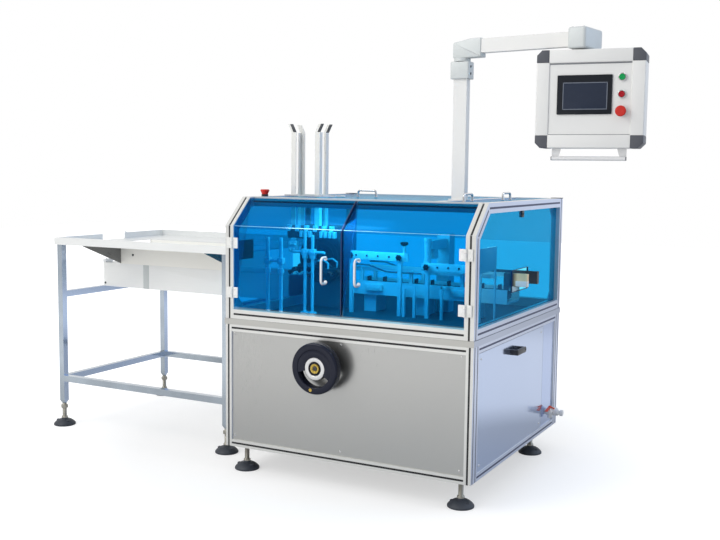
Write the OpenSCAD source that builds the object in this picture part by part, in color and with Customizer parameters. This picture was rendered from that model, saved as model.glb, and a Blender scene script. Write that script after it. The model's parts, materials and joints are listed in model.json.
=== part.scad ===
// Automatic cartoner: guarded cabinet on levelling feet, infeed table, control panel on a swing arm.
// Millimetres, +Z up, +Y to the back. The layout is drawn from the cabinet's front left corner
// and then moved so that the origin is the centre of the bottom of the whole machine.

/* [Cabinet] */
// width of the cabinet over its frame
cab_w = 1120; // [1080:5:1240]
// depth of the cabinet over its frame
cab_d = 1095; // [1060:5:1200]
// height of the base frame's underside above the floor
foot_h = 110; // [95:1:140]
// height of the base frame
base_h = 526; // [500:1:560]
// thickness of the bed plate between base and guard
bed_t = 24; // [16:1:30]
// overhang of the bed plate beyond the frame
bed_over = 3; // [0:0.5:6]
// side of the base frame's square profile
base_p = 30; // [28:1:34]
// depth of the base posts, a double profile
post_d = 60; // [56:1:66]
// thickness of the stainless panels
sheet_t = 3; // [2:0.5:5]
// how far the panels sit behind the frame's face
sheet_in = 6; // [3:0.5:10]
// width of the right side from the back to where the side cover ends
split_in = 230; // [200:5:260]
// thickness of the tray in the base
floor_t = 8; // [4:1:12]
// distance of the side cover's handle from the front
side_grip_y = 480; // [400:5:560]
// height of the middle of the side cover's handle
side_grip_z = 552; // [520:1:560]
// length of the side cover's handle
side_grip_l = 112; // [100:1:130]
// height of the side cover's handle
side_grip_h = 24; // [20:1:30]
// how far the side cover's handle stands off
side_grip_out = 32; // [28:1:40]
// thickness of the side cover's handle
side_grip_t = 10; // [8:1:12]
// distance of the valve in front of the cabinet's back
valve_in = 155; // [150:1:160]
// height of the valve above the base frame's underside
valve_up = 88; // [80:1:110]
// radius of the valve's pipe
pipe_r = 11; // [9:0.5:12]
// length of the valve's pipe
pipe_l = 46; // [40:1:60]
// length of the valve's cross piece
tee_l = 52; // [40:1:60]
// length of the valve's lever
lever_l = 44; // [40:1:50]

/* [Top handles] */
// length of a handle on the top covers
top_grip_l = 100; // [90:1:120]
// height of a handle on the top covers
top_grip_h = 34; // [30:1:40]
// radius of the rod of a handle on the top covers
top_grip_r = 5; // [4:0.5:6]
// front right handle: distance from the right side
front_grip_in = 135; // [120:1:150]
// front right handle: distance from the front
front_grip_y = 252; // [245:1:270]
// back right handle: distance from the right side
back_grip_in = 99; // [90:1:120]
// back right handle: distance from the front
back_grip_y = 600; // [560:5:700]
// left handle: its length
left_grip_l = 100; // [80:1:110]
// left handle: distance from the left side
left_grip_x = 392; // [360:1:420]
// left handle: distance from the front
left_grip_y = 530; // [500:1:560]

/* [Guard] */
// height of the guard frame above the bed
guard_h = 510; // [480:5:560]
// side of the guard frame's square profile
guard_p = 40; // [36:1:44]
// height of the bend in the guard above the bed
knee_h = 392; // [360:1:410]
// how far the guard's top edge is set back from its front
knee_back = 126; // [110:1:150]
// how far the front top rail sits behind the guard's top edge
rail_back = 26; // [24:1:40]
// width of the slots in the profiles
slot_w = 8; // [6:0.5:9]
// depth of the slots in the profiles
slot_d = 2.4; // [2:0.1:3]
// thickness of the strips in the slots
strip_t = 1.8; // [1:0.1:1.9]
// thickness of the fixed windows
pane_t = 5; // [4:0.5:8]

/* [Doors] */
// thickness of the bent doors
door_t = 6; // [5:0.5:8]
// gap between the two doors
door_gap = 8; // [7:0.5:12]
// gap between a door and the frame
door_edge = 3; // [2:0.5:5]
// distance of the hinge pins from the cabinet's side
pin_in = 36; // [34:0.5:38]
// distance of the hinge pins in front of the guard
pin_out = 8; // [7:0.5:10]
// radius of the hinge knuckles
knuckle_r = 6; // [5:0.5:7]
// length of a hinge
hinge_h = 45; // [40:1:60]
// width of one hinge leaf
leaf_w = 27; // [22:1:27]
// thickness of a hinge leaf
leaf_t = 6; // [4:0.5:6]
// height of the lower hinges' middle
hinge_low = 772; // [750:1:800]
// height of the upper hinges' middle
hinge_high = 980; // [940:1:1000]
// distance of the door pulls from the middle of the front
pull_x = 75; // [60:1:100]
// length of a door pull
pull_h = 104; // [90:1:140]
// height of the door pulls' lower end
pull_z = 837; // [800:1:860]
// how far a door pull stands off
pull_out = 38; // [30:1:45]
// radius of a door pull's rod
pull_r = 5; // [4:0.5:7]

/* [Feet] */
// radius of the foot pads
pad_r = 50; // [40:1:55]
// height of the foot pads
pad_h = 24; // [18:1:30]
// radius of the levelling studs
stud_r = 10; // [6:0.5:11]
// radius of the studs' nuts over their corners
nut_r = 17; // [14:0.5:20]
// height of the studs' nuts
nut_h = 16; // [10:1:20]
// feet of the cabinet: distance from each side
foot_x = 64; // [60:1:90]
// feet of the cabinet: distance of the front ones from the front
foot_y = 66; // [60:1:90]
// feet of the cabinet: distance of the back ones from the front
foot_back = 913; // [850:1:1000]

/* [Handwheel] */
// distance of the handwheel from the cabinet's left side
wheel_x = 474; // [400:1:560]
// height of the handwheel's middle
wheel_z = 501; // [460:1:520]
// radius of the handwheel
wheel_r = 101; // [90:1:110]
// depth of the handwheel's rim
wheel_t = 38; // [30:1:44]
// distance of the handwheel's face in front of the cabinet
wheel_out = 70; // [66:1:80]
// width of the handwheel's rim
rim_w = 27; // [22:1:32]
// radius of the handwheel's boss
boss_r = 52; // [46:1:56]
// radius of the bright ring on the boss
ring_r = 46; // [40:1:46]
// radius of the brass centre
brass_r = 23; // [18:1:26]

/* [Control arm] */
// distance of the control post from the cabinet's right side
mast_in = 232; // [210:1:240]
// distance of the control post from the front
mast_y = 400; // [380:1:420]
// width of the post
mast_w = 57; // [50:1:64]
// depth of the post
mast_d = 37; // [36:1:44]
// how far the collar stands out beyond the post
collar_out = 12; // [8:1:14]
// height of the collar's underside
collar_z = 1661; // [1640:1:1670]
// height of the collar
collar_h = 69; // [60:1:72]
// height of the top of the arm
arm_top = 1816; // [1812:1:1820]
// height of the arm tube
arm_h = 55; // [50:1:60]
// length from the post's axis to the panel's axis
arm_len = 528; // [500:1:560]
// angle of the arm, turned to the front
arm_turn = 8.1; // [0:0.1:20]
// length of the elbow on the post, from its axis
elbow_l = 96; // [90:1:120]
// length along the arm of the casting over the panel
cap_l = 72; // [66:1:90]
// depth across the arm of the casting over the panel
cap_d = 164; // [140:1:170]
// height of the top of the casting over the panel
cap_top = 1824; // [1820:1:1840]

/* [Control panel] */
// width of the control panel
panel_w = 396; // [380:1:410]
// height of the control panel
panel_h = 362; // [350:1:364]
// depth of the control panel
panel_d = 120; // [110:1:140]
// height of the control panel's underside
panel_z = 1379; // [1370:1:1379]
// angle of the control panel, turned to the right
panel_turn = 7; // [0:0.5:12]
// how far the panel's middle is to the right of its swivel
panel_off = 33; // [20:1:40]
// how far the panel's front is before its swivel
panel_front = 75; // [60:1:80]
// width of the panel's edge profiles and corner pieces
edge_w = 47; // [44:1:50]
// bevel of the corner pieces
corner_cut = 19; // [10:1:22]
// width of the screen's bezel
screen_w = 200; // [190:1:210]
// height of the screen's bezel
screen_h = 144; // [130:1:150]
// distance of the screen's middle from the panel's middle
screen_off = 19; // [14:1:24]
// distance of the push buttons from the panel's middle
button_off = 116; // [110:1:120]
// height of the screen and the middle button above the panel's underside
button_up = 196; // [190:1:204]
// distance between the buttons
button_step = 62; // [56:1:64]
// length of the panel's handle
panel_grip_l = 272; // [250:1:280]
// how far the panel's handle hangs down
panel_grip_h = 46; // [40:1:50]

/* [Infeed table] */
// distance of the table's left side from the cabinet
table_x = 1160; // [1100:5:1300]
// gap between the table's right legs and the cabinet
table_gap = 138; // [120:1:160]
// distance of the table's front from the cabinet's front
table_y = 205; // [180:1:240]
// depth of the table
table_d = 811; // [780:1:840]
// height of the table
table_h = 942; // [920:1:960]
// side of the table's square tube
tube_w = 30; // [28:1:34]
// overhang of the tray beyond the legs
tray_over = 10; // [6:1:14]
// height of the tray's edge
tray_h = 34; // [30:1:40]
// thickness of the table's sheet metal
tray_t = 3; // [2:0.5:4]
// height of the lower rails' underside
low_z = 223; // [200:1:260]
// height of the middle rails' underside
mid_z = 646; // [630:1:660]
// distance of the feed box's front from the cabinet's front
box_y = 503; // [490:1:520]
// width of the feed box
box_w = 234; // [220:1:250]
// height of the feed box
box_h = 122; // [110:1:128]
// gap in the tray's left edge: start, from the cabinet's front
gap_y0 = 537; // [530:1:545]
// gap in the tray's left edge: end, from the cabinet's front
gap_y1 = 707; // [690:1:715]
// distance of the feed box's end from the table's left side
box_in = 27; // [20:1:40]
// distance of the left gusset from the cabinet
gusset_l = 1018; // [980:1:1040]
// distance of the right gusset from the cabinet
gusset_r = 281; // [260:1:320]

/* [Carton path] */
// height of the carton path
path_z = 800; // [796:1:804]
// middle of the carton path, from the front
path_y = 560; // [555:1:565]
// width of the carton conveyor
path_w = 160; // [150:1:164]
// distance of the conveyor's end from the cabinet's right side
path_end = 44; // [40:1:60]
// middle of the carton feeder, from the left side
feed_x = 190; // [185:1:195]
// middle of the carton feeder, from the front
feed_y = 420; // [415:1:425]
// height of the carton feeder's shaft
feed_z = 890; // [888:1:894]
// reach of the carton feeder's suction cups
feed_r = 128; // [115:1:128]
// start of the carton conveyor, from the left side
path_x0 = 334; // [330:1:340]
// depth of the conveyor's channel
path_deep = 60; // [56:1:64]
// thickness of the conveyor's channel
path_t = 6; // [4:1:8]
// length of each front guide bar
guide_l = 300; // [280:1:320]
// start of the second front guide bar, from the conveyor's start
guide_step = 366; // [350:1:400]
// first front guide bar: height above the carton path
guide_up = 96; // [90:1:104]
// first front guide bar: its own height
guide_h = 38; // [30:1:44]
// second front guide bar: height above the carton path
step_up = 68; // [60:1:76]
// second front guide bar: its own height
step_h = 26; // [20:1:32]
// height of the inner guide bars above the carton path
inner_up = 42; // [36:1:48]
// distance of the guard bracket from the conveyor's start
bracket_x = 288; // [270:1:310]
// height of the guard bracket by the conveyor
bracket_h = 138; // [120:1:150]
// height of the closing unit's column
column_h = 350; // [340:1:380]
// width of the closing unit's column
column_w = 60; // [50:1:64]
// height of the plate by the right window
plate_h = 96; // [90:1:110]
// length of the plate by the right window
plate_l = 190; // [170:1:200]
// height of the cream guides at the conveyor's end
cream_h = 71; // [60:1:76]
// clearance below the free end of the cream guides
cream_rise = 18; // [10:1:24]
// length of the cream guides
cream_l = 100; // [90:1:110]
// distance from the feeder's middle to its stand
stand_back = 110; // [106:1:120]
// height of the feeder's stand
stand_h = 350; // [340:1:380]
// carton magazine: left side, from the cabinet's left side
mag_x0 = 87; // [82:1:92]
// carton magazine: width
mag_wide = 146; // [140:1:156]
// carton magazine: front, from the cabinet's front
mag_y0 = 379; // [372:1:384]
// carton magazine: depth
mag_deep = 80; // [76:1:88]
// height of the foot of the carton magazine
mag_z = 1036; // [1030:1:1050]
// height of the top of the carton magazine
mag_top = 1488; // [1440:1:1500]
// width of a magazine rail
mag_w = 24; // [18:1:28]

/* [Hidden] */
$fn = 64;
over = 5;
base_z = foot_h;
base_top = base_z + base_h;
side_split = cab_d - split_in;
bed_top = base_top + bed_t;
guard_top = bed_top + guard_h;
knee_z = bed_top + knee_h;
low_rail = bed_top + guard_p;
top_rail = guard_top - guard_p;
// the sloping front: direction, and the inner corners that a profile of one width gives
slope_l = sqrt(knee_back * knee_back + (guard_h - knee_h) * (guard_h - knee_h));
slope_y = knee_back / slope_l;
slope_z = (guard_h - knee_h) / slope_l;
slope_a = atan2(guard_h - knee_h, knee_back);
function knee_in(t) = [t, knee_z + (t - t * slope_z) * slope_z / slope_y - t * slope_y];
function top_in(t, z) = [t * slope_z + (z - knee_z + t * slope_y) * slope_y / slope_z, z];
front_rail_y = knee_back + rail_back;
mast_x = cab_w - mast_in;
cross_x = mast_x - guard_p / 2;
insert_out = 1;
// radial play of a shaft or stem in its hole
play = 0.05;
door_z0 = low_rail + door_edge;
door_z1 = guard_top - door_edge;
half_w = cab_w / 2;
path_y0 = path_y - path_w / 2;
path_y1 = path_y + path_w / 2;
path_x1 = cab_w - path_end;
// the face plate: depth behind the panel's front, thickness, and distance from the panel's edge
face_in = 5;
face_t = 3;
face_edge = edge_w + 2;
panel_x = mast_x + arm_len * cos(arm_turn);
panel_y = mast_y - arm_len * sin(arm_turn);
panel_top = panel_z + panel_h;
// the outline of the whole machine, to find its middle
x_low = -table_x + tube_w / 2 - pad_r;
x_high = panel_x + (panel_off + panel_w / 2) * cos(panel_turn) + panel_front * sin(panel_turn);
y_low = -wheel_out - insert_out;
y_high = cab_d + bed_over;
mid = [(x_low + x_high) / 2, (y_low + y_high) / 2, 0];

// bars of profile: corner, size, the axis they run along, and the faces that carry a slot
base_post_bars = [for (x = [0, cab_w - base_p], y = [0, cab_d - post_d])
  [[x, y, base_z], [base_p, post_d, base_h], 2, [[0, x > 0 ? 1 : -1], [1, y > 0 ? 1 : -1]]]];
base_x_bars = [for (y = [0, cab_d - base_p], z = [base_z, base_top - base_p])
  [[base_p, y, z], [cab_w - 2 * base_p, base_p, base_p], 0, [[1, y > 0 ? 1 : -1]]]];
base_y_bars = [for (x = [0, cab_w - base_p], z = [base_z, base_top - base_p])
  [[x, post_d, z], [base_p, cab_d - 2 * post_d, base_p], 1, [[0, x > 0 ? 1 : -1]]]];
guard_y_bars = [for (x = [0, cab_w - guard_p])
  [[x, guard_p, bed_top], [guard_p, cab_d - 2 * guard_p, guard_p], 1, [[0, x > 0 ? 1 : -1]]]];
guard_x_bars = concat([for (y = [0, cab_d - guard_p])
    [[guard_p, y, bed_top], [cab_w - 2 * guard_p, guard_p, guard_p], 0, [[1, y > 0 ? 1 : -1]]]],
  [[[guard_p, front_rail_y, top_rail], [cab_w - 2 * guard_p, guard_p, guard_p], 0, [[1, -1]]],
   [[guard_p, cab_d - guard_p, top_rail], [cab_w - 2 * guard_p, guard_p, guard_p], 0, [[1, 1]]]]);
cross_bars = [[[cross_x, front_rail_y + guard_p, top_rail],
  [guard_p, cab_d - 2 * guard_p - front_rail_y, guard_p], 1, []]];
guard_back_bars = [for (x = [0, cab_w - guard_p])
  [[x, cab_d - guard_p, bed_top], [guard_p, guard_p, guard_h], 2, [[0, x > 0 ? 1 : -1], [1, 1]]]];

function slots_on(b, face) = b[1][3 - b[2] - face[0]] > 1.5 * b[1][face[0]] ? [-0.25, 0.25] : [0];

module layout() {
  translate(-mid)
    children();
}

module bar(b) {
  difference() {
    translate(b[0])
      cube(b[1]);
    slot_cuts(b);
  }
}

module slot_cuts(b) {
  for (face = b[3], k = slots_on(b, face)) {
    run = b[2];
    cross = 3 - run - face[0];
    size = [for (i = [0:2]) i == run ? b[1][i] + 2 * over : i == cross ? slot_w : slot_d + over];
    at = [for (i = [0:2]) i == run ? b[0][i] - over
      : i == cross ? b[0][i] + b[1][i] * (0.5 + k) - slot_w / 2
      : face[1] > 0 ? b[0][i] + b[1][i] - slot_d : b[0][i] - over];
    translate(at)
      cube(size);
  }
}

module slot_fill(b) {
  lift = slot_d - strip_t;
  for (face = b[3], k = slots_on(b, face)) {
    run = b[2];
    cross = 3 - run - face[0];
    size = [for (i = [0:2]) i == run ? b[1][i] : i == cross ? slot_w : strip_t];
    at = [for (i = [0:2]) i == run ? b[0][i]
      : i == cross ? b[0][i] + b[1][i] * (0.5 + k) - slot_w / 2
      : face[1] > 0 ? b[0][i] + b[1][i] - slot_d : b[0][i] + lift];
    translate(at)
      cube(size);
  }
}

// a flat shape drawn in Y and Z, given thickness in X from x
module side_plate(x, t) {
  translate([x, 0, 0])
    rotate([90, 0, 90])
      linear_extrude(t)
        children();
}

// a flat shape drawn in X and Z, given thickness in Y from y
module front_plate(y, t) {
  translate([0, y + t, 0])
    rotate([90, 0, 0])
      linear_extrude(t)
        children();
}

module rod_y(p, r, l) {
  translate(p)
    rotate([-90, 0, 0])
      cylinder(r = r, h = l);
}

module rod_x(p, r, l) {
  translate(p)
    rotate([0, 90, 0])
      cylinder(r = r, h = l);
}

module base_posts() {
  color([0.80, 0.80, 0.78])
    layout()
      for (b = base_post_bars)
        bar(b);
}

module base_rails() {
  color([0.80, 0.80, 0.78])
    layout()
      for (b = concat(base_x_bars, base_y_bars))
        bar(b);
}

module slot_strips() {
  color([0.05, 0.05, 0.06])
    layout() {
      for (b = concat(base_post_bars, base_x_bars, base_y_bars, guard_x_bars, guard_y_bars, guard_back_bars))
        slot_fill(b);
      for (x = [0, cab_w - guard_p]) {
        translate([x + guard_p / 2 - slot_w / 2, slot_d - strip_t, bed_top])
          cube([slot_w, strip_t, knee_h]);
        post_side_strip(x);
        slope_strips(x);
        top_side_strip(x);
      }
    }
}

// strips on the outer side of the guard's bent side frames
module post_side_strip(x) {
  translate([x > 0 ? cab_w - slot_d : slot_d - strip_t, guard_p / 2 - slot_w / 2, bed_top])
    cube([strip_t, slot_w, knee_h - guard_p / 4]);
}

module slope_strips(x) {
  translate([x, 0, knee_z])
    rotate([slope_a, 0, 0]) {
      translate([guard_p / 2 - slot_w / 2, guard_p / 8, -slot_d])
        cube([slot_w, slope_l - guard_p / 4, strip_t]);
      translate([x > 0 ? guard_p - slot_d : slot_d - strip_t, guard_p / 2, -guard_p / 2 - slot_w / 2])
        cube([strip_t, slope_l - guard_p, slot_w]);
    }
}

module top_side_strip(x) {
  y = knee_back + guard_p / 2;
  z = top_rail + guard_p / 2 - slot_w / 2;
  translate([x > 0 ? cab_w - slot_d : slot_d - strip_t, y, z])
    cube([strip_t, cab_d - knee_back - 1.5 * guard_p, slot_w]);
}

module bed_plate() {
  color([0.74, 0.75, 0.74])
    layout()
      translate([-bed_over, -bed_over, base_top])
        cube([cab_w + 2 * bed_over, cab_d + 2 * bed_over, bed_t]);
}

module base_panels() {
  color([0.66, 0.66, 0.65])
    layout() {
      for (y = [sheet_in, cab_d - sheet_in - sheet_t])
        translate([base_p, y, base_z + base_p])
          cube([cab_w - 2 * base_p, sheet_t, base_h - 2 * base_p]);
      translate([sheet_in, post_d, base_z + base_p])
        cube([sheet_t, cab_d - 2 * post_d, base_h - 2 * base_p]);
      translate([cab_w - sheet_in - sheet_t, side_split + door_edge, base_z + base_p])
        cube([sheet_t, cab_d - post_d - side_split - door_edge, base_h - 2 * base_p]);
    }
}

module side_cover() {
  color([0.66, 0.66, 0.67])
    layout()
      translate([cab_w - sheet_in, post_d + door_edge, base_z + base_p])
        cube([sheet_t, side_split - post_d - door_edge, base_h - 2 * base_p - door_edge]);
}

// a low bridge handle in black plastic, two feet and a bar
module cover_handle() {
  foot_l = 1.6 * side_grip_t;
  color([0.03, 0.03, 0.035])
    layout()
      translate([cab_w - sheet_in + sheet_t, side_grip_y - side_grip_l / 2, side_grip_z - side_grip_h / 2])
        difference() {
          cube([side_grip_out, side_grip_l, side_grip_h]);
          translate([-over, foot_l, -over])
            cube([side_grip_out - side_grip_t + over, side_grip_l - 2 * foot_l, side_grip_h + 2 * over]);
        }
}

module base_tray() {
  color([0.45, 0.46, 0.47])
    layout()
      translate([base_p, post_d, base_z + base_p - floor_t])
        cube([cab_w - 2 * base_p, cab_d - 2 * post_d, floor_t]);
}

cab_feet = [for (x = [foot_x, cab_w - foot_x], y = [foot_y, foot_back]) [x, y]];
table_feet = [for (x = [-table_x + tube_w / 2, -table_gap - tube_w / 2],
  y = [table_y + tube_w / 2, table_y + table_d - tube_w / 2]) [x, y]];
leg_z = foot_h;

// levelling studs with their lock nuts
module foot_studs() {
  color([0.72, 0.72, 0.70])
    layout() {
      for (p = cab_feet)
        translate([p[0], p[1], pad_h])
          stud(base_z + base_p - floor_t - pad_h, foot_h - pad_h - 1.1 * nut_h);
      for (p = table_feet)
        translate([p[0], p[1], pad_h])
          stud(leg_z - pad_h, leg_z - pad_h - 1.5 * nut_h);
    }
}

module stud(h, nut_z) {
  cylinder(r = stud_r, h = h);
  for (z = [0, nut_z])
    translate([0, 0, z])
      cylinder(r = nut_r, h = nut_h, $fn = 6);
}

module foot_pads() {
  color([0.10, 0.11, 0.13])
    layout()
      for (p = concat(cab_feet, table_feet))
        translate([p[0], p[1], 0]) {
          cylinder(r = pad_r, h = pad_h / 3);
          translate([0, 0, pad_h / 3])
            cylinder(r1 = pad_r, r2 = pad_r * 0.45, h = pad_h * 2 / 3);
        }
}

module guard_posts() {
  color([0.86, 0.86, 0.83])
    layout() {
      for (x = [0, cab_w - guard_p])
        difference() {
          side_plate(x, guard_p)
            polygon([[0, bed_top], [0, knee_z], knee_in(guard_p), [guard_p, bed_top]]);
          translate([x + guard_p / 2 - slot_w / 2, -over, bed_top - over])
            cube([slot_w, slot_d + over, guard_h]);
          translate([x > 0 ? cab_w - slot_d : -over, guard_p / 2 - slot_w / 2, bed_top - over])
            cube([slot_d + over, slot_w, guard_h]);
        }
      for (b = guard_back_bars)
        bar(b);
    }
}

module guard_slopes() {
  color([0.86, 0.86, 0.83])
    layout()
      for (x = [0, cab_w - guard_p])
        difference() {
          side_plate(x, guard_p)
            polygon([[0, knee_z], [knee_back, guard_top], top_in(guard_p, top_rail), knee_in(guard_p)]);
          translate([x, 0, knee_z])
            rotate([slope_a, 0, 0]) {
              translate([guard_p / 2 - slot_w / 2, -guard_p, -slot_d])
                cube([slot_w, slope_l + 2 * guard_p, slot_d + over]);
              translate([x > 0 ? guard_p - slot_d : -over, -guard_p, -guard_p / 2 - slot_w / 2])
                cube([slot_d + over, slope_l + 2 * guard_p, slot_w]);
            }
        }
}

module guard_rails() {
  color([0.86, 0.86, 0.83])
    layout()
      for (b = concat(guard_x_bars, cross_bars))
        bar(b);
}

// the rails along the sides, from front to back
module guard_sides() {
  color([0.86, 0.86, 0.83])
    layout() {
      for (b = guard_y_bars)
        bar(b);
      for (x = [0, cab_w - guard_p])
        difference() {
          side_plate(x, guard_p)
            polygon([[knee_back, guard_top], [cab_d - guard_p, guard_top],
              [cab_d - guard_p, top_rail], top_in(guard_p, top_rail)]);
          translate([x > 0 ? cab_w - slot_d : -over, knee_back - over, top_rail + guard_p / 2 - slot_w / 2])
            cube([slot_d + over, cab_d, slot_w]);
        }
    }
}

// the openings in the side windows for cartons and goods: Y and Z of two corners
cut_gap = 20;
exit_low = 5;
exit_h = 84;
entry_h = 100;
exit_cut = [[path_y0 - cut_gap, path_z - exit_low], [path_y1 + cut_gap, path_z + exit_h]];
entry_cut = [[box_y, mid_z + tube_w + box_h], [box_y + box_w, path_z + entry_h]];

module side_window(cut) {
  difference() {
    polygon([[guard_p, low_rail], knee_in(guard_p), top_in(guard_p, top_rail),
      [cab_d - guard_p, top_rail], [cab_d - guard_p, low_rail]]);
    translate(cut[0])
      square(cut[1] - cut[0]);
  }
}

module windows() {
  color([0.10, 0.45, 0.75])
    layout() {
      side_plate(guard_p / 2 - pane_t / 2, pane_t)
        side_window(entry_cut);
      side_plate(cab_w - guard_p / 2 - pane_t / 2, pane_t)
        side_window(exit_cut);
      translate([guard_p, cab_d - guard_p / 2 - pane_t / 2, low_rail])
        cube([cab_w - 2 * guard_p, pane_t, guard_h - 2 * guard_p]);
    }
}

mag_x1 = mag_x0 + mag_wide;
mag_y1 = mag_y0 + mag_deep;

module top_covers() {
  cover_y = front_rail_y + guard_p;
  mag_gap = 14;
  color([0.10, 0.45, 0.75])
    layout()
      difference() {
        translate([guard_p, cover_y, guard_top - pane_t])
          cube([cab_w - 2 * guard_p, cab_d - guard_p - cover_y, pane_t]);
        translate([cross_x, 0, top_rail])
          cube([guard_p, cab_d, 2 * guard_p]);
        translate([mag_x0 - mag_gap, mag_y0 - mag_gap, top_rail])
          cube([mag_wide + 2 * mag_gap, mag_deep + 2 * mag_gap, 2 * guard_p]);
      }
}

// low bridge handles on the lift-off top covers: x, y of the middle, turn and length
module top_handles() {
  across = 90;
  color([0.75, 0.76, 0.78])
    layout()
      for (p = [[cab_w - front_grip_in, front_grip_y, across, top_grip_l],
          [cab_w - back_grip_in, back_grip_y, across, top_grip_l], [left_grip_x, left_grip_y, 0, left_grip_l]])
        translate([p[0], p[1], guard_top])
          rotate([0, 0, p[2]])
            bent_bar(p[3], top_grip_h, top_grip_r);
}

// a bridge of round rod: two legs and a bar, along X, standing on z = 0
module bent_bar(l, h, r) {
  for (s = [-1, 1])
    translate([s * (l / 2 - r), 0, 0])
      cylinder(r = r, h = h - r);
  rod_x([-l / 2 + r, 0, h - r], r, l - 2 * r);
  for (s = [-1, 1])
    translate([s * (l / 2 - r), 0, h - r])
      sphere(r = r);
}

// one half of a hinge: a leaf and its share of the knuckles; side 1 points to +X
module hinge_leaf(side, knuckles) {
  clear = 0.6;
  part = hinge_h / 3;
  translate([side > 0 ? clear : -leaf_w - clear, pin_out - leaf_t, -hinge_h / 2])
    cube([leaf_w, leaf_t, hinge_h]);
  for (k = knuckles)
    translate([0, 0, -hinge_h / 2 + k * part + (k > 0 ? clear / 2 : 0)])
      cylinder(r = knuckle_r, h = part - (k == 1 ? clear : clear / 2));
}

module fixed_leaf(side) {
  part = hinge_h / 3;
  difference() {
    hinge_leaf(side, [0, 2]);
    translate([0, 0, -part / 2])
      cylinder(r = knuckle_r + 1, h = part);
  }
}

module door_leaf(side) {
  part = hinge_h / 3;
  difference() {
    hinge_leaf(side, [1]);
    for (z = [-hinge_h / 2 - 1, part / 2])
      translate([0, 0, z])
        cylinder(r = knuckle_r + 1, h = part + 1);
  }
}

module door_hinges() {
  color([0.88, 0.89, 0.88])
    layout()
      for (z = [hinge_low, hinge_high]) {
        translate([pin_in, -pin_out, z])
          fixed_leaf(-1);
        translate([cab_w - pin_in, -pin_out, z])
          fixed_leaf(1);
      }
}

// the bent sheet of a door, seen from the side
module door_profile() {
  in_knee = knee_in(door_t);
  in_top = top_in(door_t, door_z1);
  out_top = top_in(0, door_z1);
  polygon([[0, door_z0], [0, knee_z], out_top, in_top, in_knee, [door_t, door_z0]]);
}

door_w = half_w - door_gap / 2 - guard_p - door_edge;

module left_door() {
  color([0.10, 0.45, 0.75])
    layout()
      side_plate(guard_p + door_edge, door_w)
        door_profile();
}

module right_door() {
  color([0.10, 0.45, 0.75])
    layout()
      side_plate(half_w + door_gap / 2, door_w)
        door_profile();
}

// a door pull: a bridge of round rod, upright on the door's face
module door_pull(x) {
  translate([x, 0, pull_z + pull_h / 2])
    rotate([90, 0, 0])
      rotate([0, 0, 90])
        bent_bar(pull_h, pull_out, pull_r);
}

module left_hardware() {
  color([0.92, 0.92, 0.92])
    layout() {
      door_pull(half_w - pull_x);
      for (z = [hinge_low, hinge_high])
        translate([pin_in, -pin_out, z])
          door_leaf(1);
    }
}

module right_hardware() {
  color([0.92, 0.92, 0.92])
    layout() {
      door_pull(half_w + pull_x);
      for (z = [hinge_low, hinge_high])
        translate([cab_w - pin_in, -pin_out, z])
          door_leaf(-1);
    }
}

// four upright angles that hold the stack of blanks; their tips lean outwards
module magazine_rails() {
  angle_t = 4;
  tip_h = 36;
  tip_lean = 18;
  color([0.72, 0.73, 0.74])
    layout()
      for (sx = [-1, 1], sy = [-1, 1]) {
        x = sx < 0 ? mag_x0 : mag_x1;
        y = sy < 0 ? mag_y0 : mag_y1;
        front_plate(sy < 0 ? y : y - angle_t, angle_t)
          polygon([[x, mag_z], [x - sx * mag_w, mag_z], [x - sx * mag_w, mag_top - tip_h],
            [x - sx * mag_w + sx * tip_lean, mag_top], [x + sx * tip_lean, mag_top], [x, mag_top - tip_h]]);
        translate([sx < 0 ? x : x - angle_t, sy < 0 ? y + angle_t : y - mag_w, mag_z])
          cube([angle_t, mag_w - angle_t, mag_top - tip_h - mag_z]);
      }
}

module magazine_bar() {
  bar_t = 8;
  bar_h = 7;
  bar_l = 260;
  bar_out = 30;
  color([0.35, 0.36, 0.38])
    layout()
      for (y = [mag_y0 - bar_t, mag_y1])
        translate([mag_x0 - bar_out, y, guard_top])
          cube([bar_l, bar_t, bar_h]);
}

module conveyor_frame() {
  color([0.70, 0.72, 0.73])
    layout()
      translate([path_x0, path_y0, path_z - path_deep])
        difference() {
          cube([path_x1 - path_x0, path_w, path_deep]);
          translate([-over, path_t, path_t])
            cube([path_x1 - path_x0 + 2 * over, path_w - 2 * path_t, path_deep]);
        }
}

// the carton chain: one flat loop with lugs
module conveyor_chain() {
  loop_r = 21;
  band_t = 5;
  band_w = 70;
  lug_h = 26;
  lug_t = 4;
  lugs = 9;
  end_in = 40;
  loop_x0 = path_x0 + end_in;
  loop_x1 = path_x1 - end_in;
  loop_z = path_z - path_deep + path_t + loop_r;
  lug_step = (loop_x1 - loop_x0 - end_in) / (lugs - 1);
  color([0.16, 0.17, 0.19])
    layout() {
      front_plate(path_y - band_w / 2, band_w)
        difference() {
          loop_shape(loop_x0, loop_x1, loop_z, loop_r);
          loop_shape(loop_x0, loop_x1, loop_z, loop_r - band_t);
        }
      for (i = [0:lugs - 1])
        translate([loop_x0 + end_in / 2 + i * lug_step - lug_t / 2, path_y - band_w / 4, loop_z + loop_r - 1])
          cube([lug_t, band_w / 2, lug_h + 1]);
    }
}

module loop_shape(x0, x1, z, r) {
  translate([x0, z])
    circle(r = r);
  translate([x1, z])
    circle(r = r);
  translate([x0, z - r])
    square([x1 - x0, 2 * r]);
}

// guide bars: the front ones by their start, height above the floor and own height
guide_t = 8;
guide_y = path_y0 - 30;
front_guides = [[path_x0, path_z + guide_up, guide_h],
  [path_x0 + guide_step, path_z + step_up, step_h]];
inner_in = 22;
inner_cut = 80;
inner_z = path_z + inner_up;
inner_h = 18;

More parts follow.
